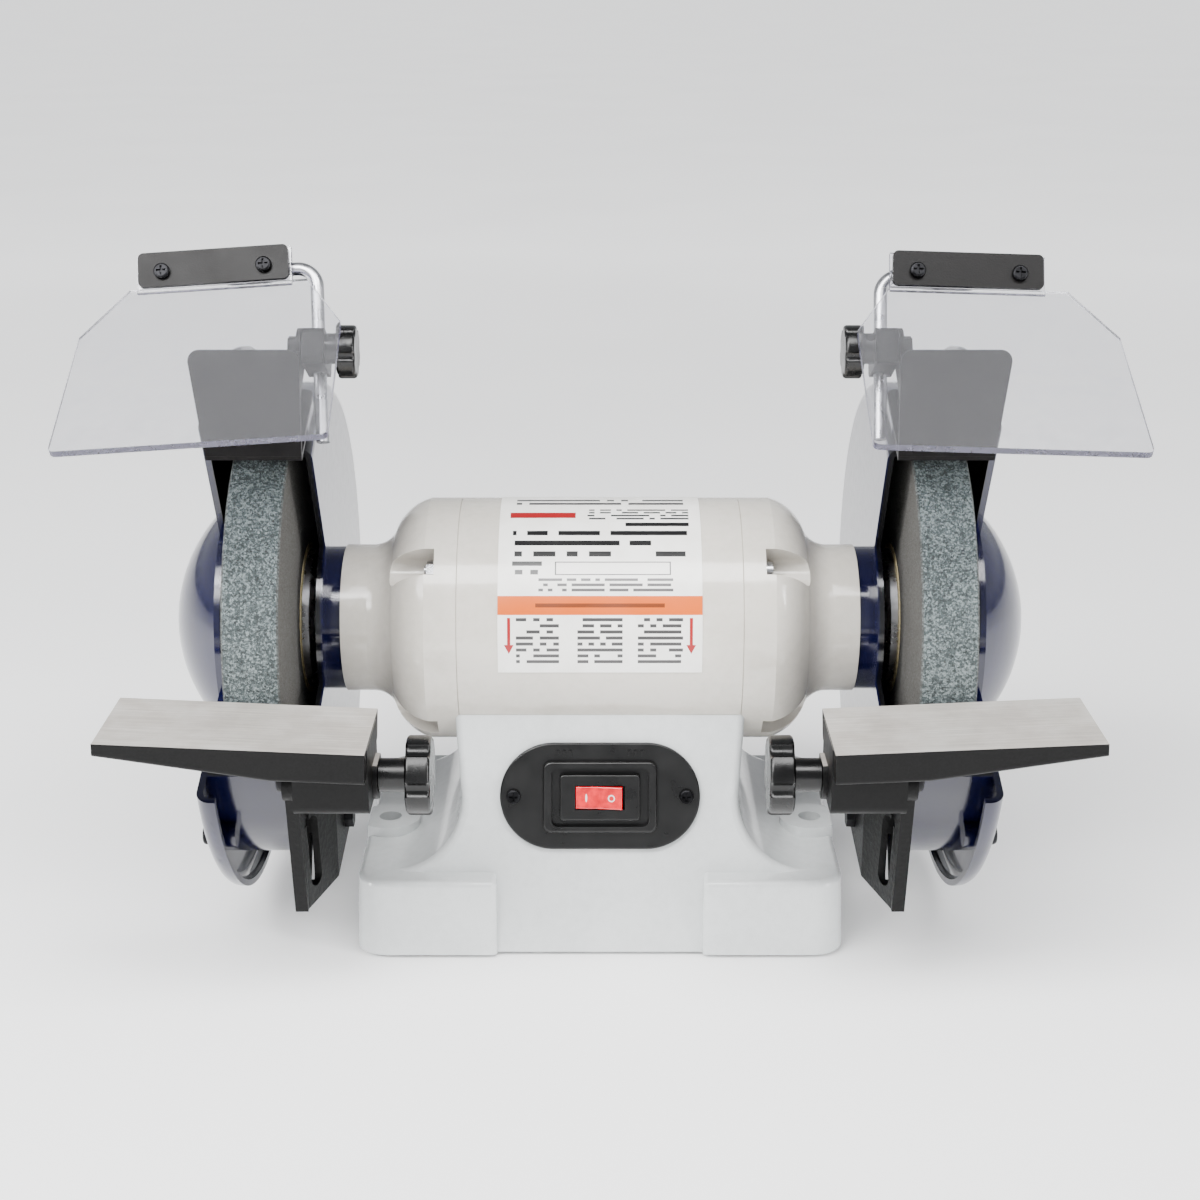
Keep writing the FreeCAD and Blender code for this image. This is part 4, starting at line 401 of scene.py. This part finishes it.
def dark_lines(tree, x, angle, centre, half, pitch, word, seed):
    """A mask of rows of short dark strokes that stand in for print: they say nothing. centre and half are in
    millimetres across and degrees up; pitch is in degrees from row to row, word in millimetres."""
    across = put(tree, "ShaderNodeMath", {0: x, 1: centre[0], 2: half[0]}, operation="COMPARE")
    up = put(tree, "ShaderNodeMath", {0: angle, 1: centre[1], 2: half[1]}, operation="COMPARE")
    inside = put(tree, "ShaderNodeMath", {0: across.outputs[0], 1: up.outputs[0]}, operation="MULTIPLY")
    start = put(tree, "ShaderNodeMath", {0: angle, 1: centre[1] - half[1]}, operation="SUBTRACT")
    row = put(tree, "ShaderNodeMath", {0: start.outputs[0], 1: pitch}, operation="DIVIDE")
    row_number = put(tree, "ShaderNodeMath", {0: row.outputs[0]}, operation="FLOOR")
    within = put(tree, "ShaderNodeMath", {0: row.outputs[0]}, operation="FRACT")
    inked = put(tree, "ShaderNodeMath", {0: within.outputs[0], 1: 0.5, 2: 0.27}, operation="COMPARE")
    cell = put(tree, "ShaderNodeMath", {0: x, 1: word}, operation="DIVIDE")
    cell_number = put(tree, "ShaderNodeMath", {0: cell.outputs[0]}, operation="FLOOR")
    key = put(tree, "ShaderNodeCombineXYZ", {0: cell_number.outputs[0], 1: row_number.outputs[0], 2: seed})
    chance = put(tree, "ShaderNodeTexWhiteNoise", {"Vector": key.outputs[0]}, noise_dimensions="3D")
    kept = put(tree, "ShaderNodeMath", {0: chance.outputs["Value"], 1: 0.24}, operation="GREATER_THAN")
    rows = put(tree, "ShaderNodeMath", {0: inked.outputs[0], 1: kept.outputs[0]}, operation="MULTIPLY")
    return put(tree, "ShaderNodeMath", {0: inside.outputs[0], 1: rows.outputs[0]},
               operation="MULTIPLY").outputs[0]


def printed_film():
    """Printed vinyl film round the motor: white, with an orange band, two red arrows that point down and dark
    strokes where print would be. Every mark is generic."""
    made, tree, shader, place = new_material("printed_vinyl_film", IOR=1.5, Coat_Weight=0.3,
                                             Coat_Roughness=0.12)
    at = place.outputs["Object"]
    from_spindle = put(tree, "ShaderNodeMapping", {"Vector": at, "Location": (0.0, -SPINDLE.y, -SPINDLE.z)})
    split = put(tree, "ShaderNodeSeparateXYZ", {0: from_spindle.outputs[0]})
    x = put(tree, "ShaderNodeMath", {0: split.outputs["X"], 1: 1 / MM}, operation="MULTIPLY").outputs[0]
    front = put(tree, "ShaderNodeMath", {0: split.outputs["Y"], 1: -1.0}, operation="MULTIPLY")
    turn = put(tree, "ShaderNodeMath", {0: split.outputs["Z"], 1: front.outputs[0]}, operation="ARCTAN2")
    angle = put(tree, "ShaderNodeMath",
                {0: turn.outputs[0], 1: 180 / math.pi}, operation="MULTIPLY").outputs[0]
    paper = put(tree, "ShaderNodeTexNoise", {"Vector": at, "Scale": per(12), "Detail": 4.0})
    shade = ramp(tree, paper.outputs["Fac"], [(0.3, "#E9E7E1"), (0.7, "#F4F3EF")])
    # (across, up) centre, half size, row pitch, stroke length, ink
    blocks = [((-29, 8), (10, 11), 2.75, 3.1, "#3A3939"), ((0, 8), (10.5, 11), 2.75, 2.7, "#3A3939"),
              ((28, 8), (10.5, 11), 2.75, 2.9, "#3A3939"), ((2, 33.4), (32, 3.6), 2.4, 2.2, "#4A4949"),
              ((-34, 41.5), (7, 4.2), 4.2, 3.6, "#0C0C0C"), ((0, 48.6), (40, 2.6), 5.2, 5.2, "#060606"),
              ((-8, 54.6), (32, 2.6), 5.2, 4.6, "#060606"), ((0, 60.6), (41, 2.6), 5.2, 4.9, "#060606"),
              ((24, 66.4), (18, 2.4), 4.8, 6.0, "#060606"), ((18, 74.5), (24, 5.0), 2.5, 2.6, "#2A2929"),
              ((0, 88.0), (40, 5.0), 5.0, 3.4, "#2A2929")]
    for number, (centre, half, pitch, word, ink) in enumerate(blocks):
        mask = dark_lines(tree, x, angle, centre, half, pitch, word, float(number))
        shade = put(tree, "ShaderNodeMix", {0: mask, 6: shade, 7: linear(ink)}, data_type="RGBA").outputs[2]
    # plain areas: across, up, half width, half height, colour
    areas = [(6, 41.3, 27, 3.3, "#2E2D2C"), (6, 41.3, 26.4, 2.8, "#EFEDE8"), (0, 24.0, 48, 4.3, "#CE5A00"),
             (0, 24.0, 30, 0.9, "#6E2E00"), (-27, 73.5, 15.5, 2.3, "#8E0008")]
    for across, up, half_x, half_up, ink in areas:
        wide = put(tree, "ShaderNodeMath", {0: x, 1: float(across), 2: half_x}, operation="COMPARE")
        tall = put(tree, "ShaderNodeMath", {0: angle, 1: up, 2: half_up}, operation="COMPARE")
        mask = put(tree, "ShaderNodeMath", {0: wide.outputs[0], 1: tall.outputs[0]}, operation="MULTIPLY")
        shade = put(tree, "ShaderNodeMix", {0: mask.outputs[0], 6: shade, 7: linear(ink)},
                    data_type="RGBA").outputs[2]
    off = put(tree, "ShaderNodeMath", {0: x}, operation="ABSOLUTE")
    aside = put(tree, "ShaderNodeMath", {0: off.outputs[0], 1: 42.3}, operation="SUBTRACT")
    beside = put(tree, "ShaderNodeMath", {0: aside.outputs[0]}, operation="ABSOLUTE")
    reach = put(tree, "ShaderNodeMapRange", {0: angle, 1: 2.0, 2: 6.2, 3: 0.0, 4: 2.3})
    shaft = put(tree, "ShaderNodeMath", {0: angle, 1: 6.2}, operation="LESS_THAN")
    width = put(tree, "ShaderNodeMix", {0: shaft.outputs[0], 2: 0.75, 3: reach.outputs[0]})
    narrow = put(tree, "ShaderNodeMath", {0: beside.outputs[0], 1: width.outputs[0]}, operation="LESS_THAN")
    span = put(tree, "ShaderNodeMath", {0: angle, 1: 10.2, 2: 8.2}, operation="COMPARE")
    arrow = put(tree, "ShaderNodeMath", {0: narrow.outputs[0], 1: span.outputs[0]}, operation="MULTIPLY")
    shade = put(tree, "ShaderNodeMix", {0: arrow.outputs[0], 6: shade, 7: linear("#960008")},
                data_type="RGBA").outputs[2]
    rough = spread(tree, paper.outputs["Fac"], 0.28, 0.4)
    feed(tree, shader, Base_Color=shade, Roughness=rough.outputs[0])
    return made


base_enamel = gloss_enamel("stoved_enamel_light_grey", "#C4C7C7", "#BBBEBE", 2.6, 34, 0.14, 0.17)
motor_enamel = gloss_enamel("stoved_enamel_warm_grey", "#C8C3BA", "#BEB9AF", 2.4, 38, 0.09, 0.14)
# painted shade: #08080B is laid over the inside of each guard's drum, where shade falls; it is not a colour of
# the paint
navy_enamel = gloss_enamel("stoved_enamel_navy", "#0B0C2E", "#080922", 2.2, 55, 0.06, 0.10, 0.3, "#08080B")
cast_black = sand_cast_iron()
sheet_black = satin_black_sheet()
black_knob = moulded_plastic("phenolic_resin_black", "#030303", "#0A0A0A", 0.20, 0.6)
black_abs = moulded_plastic("abs_black", "#040404", "#0B0B0B", 0.26, 0.5)
zinc_steel = turned_steel("zinc_plated_steel", "#C9C9CC", "#A4A5A8", 0.5, 0.22)
oxide_steel = turned_steel("black_oxide_steel", "#2A2A2C", "#141415", 0.5, 0.34)
shaft_steel = turned_steel("turned_steel", "#B9B9BA", "#8E8F91", 0.6, 0.25)
grit_face = vitrified_grit("vitrified_oxide_grit", [(0.15, "#151A1B"), (0.42, "#283031"), (0.66, "#3C4647"),
                                                    (0.95, "#6E7879")], 0.85)
red_clear = lit_red_plastic()
rubber = soft_rubber()
laminated = stacked_laminations()
copper = wound_copper()
card = pressed_card()
film = printed_film()

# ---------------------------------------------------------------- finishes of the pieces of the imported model
for name, finish in {
    "base": base_enamel, "base_plate": sheet_black, "base_plate_screws": zinc_steel, "rubber_feet": rubber,
    "saddle_bolts": zinc_steel, "run_capacitor": black_abs, "cord_gland": rubber, "switch_plate": black_abs,
    "switch_screws": oxide_steel, "switch_body": black_abs, "switch_rocker": red_clear,
    "stator_housing": motor_enamel, "stator_core": laminated, "stator_winding": copper,
    "tie_bolts": zinc_steel,
    "rating_plate": film, "bearing_outer_races": shaft_steel, "bearing_inner_races": shaft_steel,
    "shaft": shaft_steel, "rotor_core": laminated, "blotters": card, "inner_flanges": zinc_steel,
    "outer_flanges": zinc_steel, "guard_screws": oxide_steel, "cover_screws": oxide_steel,
    "arm_bolts": oxide_steel, "arrestor_screws": oxide_steel,
}.items():
    frame["nodes"][name].data.materials.clear()
    frame["nodes"][name].data.materials.append(finish)

# the rest's top rises outwards by this angle, in degrees, and the sheets slope down to the front
REST_TOP_ANGLE = 2.6
REST_RISE = math.tan(math.radians(REST_TOP_ANGLE))
SHEET_NORMAL = (0.0, -0.415, 0.910)
clear_sheet = clear_polycarbonate("clear_polycarbonate_sheet", SHEET_NORMAL)
side_finishes = {
    "end_bell": motor_enamel, "grinding_wheel": grit_face, "arbor_nut": zinc_steel,
    "wheel_guard": navy_enamel,
    "guard_cover": navy_enamel, "rest_arm": cast_black, "rest_stud": oxide_steel, "rest_knob": black_knob,
    "spark_arrestor": sheet_black, "clamp_block": cast_black, "clamp_knob": black_knob,
    "shield_rod": zinc_steel,
    "shield_bar": sheet_black, "shield_screws": oxide_steel, "eye_shield": clear_sheet,
}
for side, sign in SIDES:
    for name, finish in {**side_finishes, "tool_rest": ground_top_iron(sign * REST_RISE)}.items():
        node = frame["nodes"][side + "_" + name]
        node.data.materials.clear()
        node.data.materials.append(finish)


# ---------------------------------------------------------------- pieces that only the eye needs
GRAINS_PER_SQUARE_M = 200000.0
GRAIN_RADIUS = 0.55 * MM
ANY_TURN = 6.28
CLEAR_OF_CORNERS = 2.4 * MM

# the rocker's two halves rise from its middle, in millimetres and degrees
ROCKER_REST_TILT = 8.0
ROCKER_MIDDLE = 3.1
ROCKER_RISE = 1.4
ROCKER_HALF_LENGTH = 11.2
MARK_LIFT = 0.05
MARK_TOP, MARK_FOOT = 0.08, -0.1
MARK_CORNERS = 24


def add_object(name, mesh):
    made = bpy.data.objects.new(name, mesh)
    bpy.context.scene.collection.objects.link(made)
    return made


def grain_tree(finish):
    """Scatters small rough grains over a surface, each half sunk in it."""
    tree = bpy.data.node_groups.new("scattered_grains", "GeometryNodeTree")
    sockets = {}
    for name, kind, way in (("Geometry", "NodeSocketGeometry", "INPUT"),
                            ("Per_square_m", "NodeSocketFloat", "INPUT"),
                            ("Grain_radius", "NodeSocketFloat", "INPUT"), ("Seed", "NodeSocketInt", "INPUT"),
                            ("Grains", "NodeSocketGeometry", "OUTPUT")):
        sockets[name] = tree.interface.new_socket(name, in_out=way, socket_type=kind).identifier
    given = put(tree, "NodeGroupInput")
    points = put(tree, "GeometryNodeDistributePointsOnFaces",
                 {"Mesh": given.outputs["Geometry"], "Density": given.outputs["Per_square_m"],
                  "Seed": given.outputs["Seed"]})
    grain = put(tree, "GeometryNodeMeshIcoSphere",
                {"Radius": given.outputs["Grain_radius"], "Subdivisions": 1})
    turn = put(tree, "FunctionNodeRandomValue",
               {1: (ANY_TURN, ANY_TURN, ANY_TURN), "Seed": given.outputs["Seed"]},
               data_type="FLOAT_VECTOR")
    size = put(tree, "FunctionNodeRandomValue", {0: (0.6, 0.6, 0.35), 1: (1.4, 1.2, 0.8), "Seed": 7},
               data_type="FLOAT_VECTOR")
    spread = put(tree, "GeometryNodeInstanceOnPoints",
                 {"Points": points.outputs["Points"], "Instance": grain.outputs["Mesh"],
                  "Rotation": turn.outputs["Value"], "Scale": size.outputs["Value"]})
    real = put(tree, "GeometryNodeRealizeInstances", {"Geometry": spread.outputs[0]})
    done = put(tree, "GeometryNodeSetMaterial", {"Geometry": real.outputs[0], "Material": finish})
    put(tree, "NodeGroupOutput", {"Grains": done.outputs[0]})
    return tree, sockets


def wheel_grains(side, sign, tree, sockets):
    """Loose-edged grains that stand proud of the wheel's worn face."""
    cloth = bmesh.new()
    bmesh.ops.create_cone(cloth, segments=96, radius1=WHEEL_RADIUS, radius2=WHEEL_RADIUS,
                          depth=WHEEL[1].x - WHEEL[0].x - CLEAR_OF_CORNERS, cap_ends=False)
    cloth.transform(Matrix.Translation(((WHEEL[0].x + WHEEL[1].x) / 2 * sign, SPINDLE.y, SPINDLE.z))
                    @ Matrix.Rotation(math.pi / 2, 4, "Y"))
    mesh = bpy.data.meshes.new("face")
    cloth.to_mesh(mesh)
    cloth.free()
    source = add_object("face", mesh)
    change = source.modifiers.new("grains", "NODES")
    change.node_group = tree
    change[sockets["Per_square_m"]] = GRAINS_PER_SQUARE_M
    change[sockets["Grain_radius"]] = GRAIN_RADIUS
    change[sockets["Seed"]] = 3 + sign
    depsgraph = bpy.context.evaluated_depsgraph_get()
    plain = bpy.data.meshes.new_from_object(source.evaluated_get(depsgraph), depsgraph=depsgraph)
    bpy.data.objects.remove(source)
    piece = add_object(side + "_wheel_grains", plain)
    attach(piece, "rotor")


def rocker_mark(name, across, outer, inner, finish):
    """A flat ring or bar moulded on one half of the rocker: outer and inner are (half width, half height)."""
    hinge = next(j for j in frame["record"]["behaviour"]["joints"] if j["name"] == "rocker_switch")
    up = Vector(hinge["axis"]).normalized()
    out = Vector((1, 0, 0)).cross(up)
    rest = math.radians(ROCKER_REST_TILT)
    tilt = rest + math.copysign(math.atan(ROCKER_RISE / ROCKER_HALF_LENGTH), across)
    x, z = across, ROCKER_MIDDLE + abs(across) * ROCKER_RISE / ROCKER_HALF_LENGTH + MARK_LIFT
    centre = (Vector(hinge["pos_m"]) + Vector((1, 0, 0)) * (x * math.cos(rest) - z * math.sin(rest)) * MM
              + out * (x * math.sin(rest) + z * math.cos(rest)) * MM)
    right = Vector((1, 0, 0)) * math.cos(tilt) + out * math.sin(tilt)
    raised = right.cross(up)
    rings, count = [], MARK_CORNERS
    for half, lift in ((outer, MARK_FOOT), (outer, MARK_TOP), (inner, MARK_TOP), (inner, MARK_FOOT)):
        rings.append([centre + (right * half[0] * math.cos(2 * math.pi * i / count)
                                + up * half[1] * math.sin(2 * math.pi * i / count) + raised * lift) * MM
                      for i in range(count)])
    faces = []
    for a in range(4):
        b = (a + 1) % 4
        for i in range(count):
            j = (i + 1) % count
            faces.append((a * count + i, a * count + j, b * count + j, b * count + i))
    mesh = bpy.data.meshes.new(name)
    mesh.from_pydata([p for ring in rings for p in ring], [], faces)
    mesh.materials.append(finish)
    shape = bmesh.new()
    shape.from_mesh(mesh)
    bmesh.ops.recalc_face_normals(shape, faces=shape.faces)
    shape.to_mesh(mesh)
    shape.free()
    piece = add_object(name, mesh)
    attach(piece, "rocker")


grain_group, grain_sockets = grain_tree(grit_face)
for side, sign in SIDES:
    wheel_grains(side, sign, grain_group, grain_sockets)
white_ink = moulded_plastic("white_moulded_abs", "#D8D8D6", "#ECECEA", 0.35, 0.5)
rocker_mark("rocker_off_mark", 6.0, (1.7, 1.7), (1.15, 1.15), white_ink)
rocker_mark("rocker_on_mark", -6.0, (0.42, 1.9), (0.05, 1.5), white_ink)


# ---------------------------------------------------------------- the room: floor, light and camera
def aim(thing, target):
    thing.rotation_euler = (Vector(target) - thing.location).to_track_quat("-Z", "Y").to_euler()


def studio():
    world = bpy.data.worlds.new("studio")
    bpy.context.scene.world = world
    world.use_nodes = True
    tree = world.node_tree
    back = tree.nodes["Background"]
    way = put(tree, "ShaderNodeTexCoord")
    height = put(tree, "ShaderNodeSeparateXYZ", {0: way.outputs["Generated"]})
    glow = ramp(tree, height.outputs["Z"], [(0.0, "#8A8C90"), (0.12, "#D9DBDE"), (0.5, "#B4B6B9"),
                                            (0.8, "#8E9093")])
    tree.links.new(glow, back.inputs["Color"])
    back.inputs["Strength"].default_value = 1.15
    for name, size, energy, place, target in (
            ("soft_key", (1.1, 0.8), 46.0, (-0.85, -1.0, 1.35), (0, 0, 0.15)),
            ("soft_top", (1.5, 0.5), 40.0, (0.15, -0.75, 1.5), (0, 0, 0.1)),
            ("strip_right", (0.25, 1.1), 24.0, (1.35, -0.75, 0.55), (0.1, 0, 0.15)),
            ("strip_left", (0.25, 1.1), 20.0, (-1.4, -0.5, 0.5), (-0.1, 0, 0.15))):
        lamp = bpy.data.lights.new(name, "AREA")
        lamp.shape = "RECTANGLE"
        lamp.size, lamp.size_y = size
        lamp.energy = energy
        holder = bpy.data.objects.new(name, lamp)
        bpy.context.scene.collection.objects.link(holder)
        holder.location = place
        aim(holder, target)
    mesh = bpy.data.meshes.new("studio_floor")
    half = 30.0
    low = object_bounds()[0][2]
    mesh.from_pydata([(-half, -half, low), (half, -half, low), (half, half, low), (-half, half, low)], [],
                     [(0, 1, 2, 3)])
    floor = bpy.data.objects.new("studio_floor", mesh)
    bpy.context.scene.collection.objects.link(floor)
    made, tree, shader, place = new_material("pale_floor", Roughness=0.75)
    tone = put(tree, "ShaderNodeTexNoise", {"Vector": place.outputs["Object"], "Scale": 3.0, "Detail": 2.0})
    far = put(tree, "ShaderNodeVectorMath", {0: place.outputs["Object"]}, operation="LENGTH")
    lit = put(tree, "ShaderNodeMapRange", {0: far.outputs["Value"], 1: 0.35, 2: 2.2, 3: 0.12, 4: 1.15})
    white = ramp(tree, tone.outputs["Fac"], [(0.3, "#F6F6F6"), (0.7, "#FAFAFA")])
    feed(tree, shader, Base_Color=white, Emission_Color=white, Emission_Strength=lit.outputs[0])
    mesh.materials.append(made)
    floor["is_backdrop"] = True


def photo_camera():
    """Square to the front, 0.98 m from the spindle, looking down a little."""
    back, up, look_down = 0.9278, 0.3157, 18.3
    data = bpy.data.cameras.new("camera")
    data.lens, data.sensor_width = 59.7, 36.0
    camera = bpy.data.objects.new("camera", data)
    bpy.context.scene.collection.objects.link(camera)
    camera.location = (0.0, SPINDLE.y - back, SPINDLE.z + up)
    camera.rotation_euler = (math.radians(90 - look_down), 0.0, 0.0)
    bpy.context.scene.camera = camera


studio()
photo_camera()
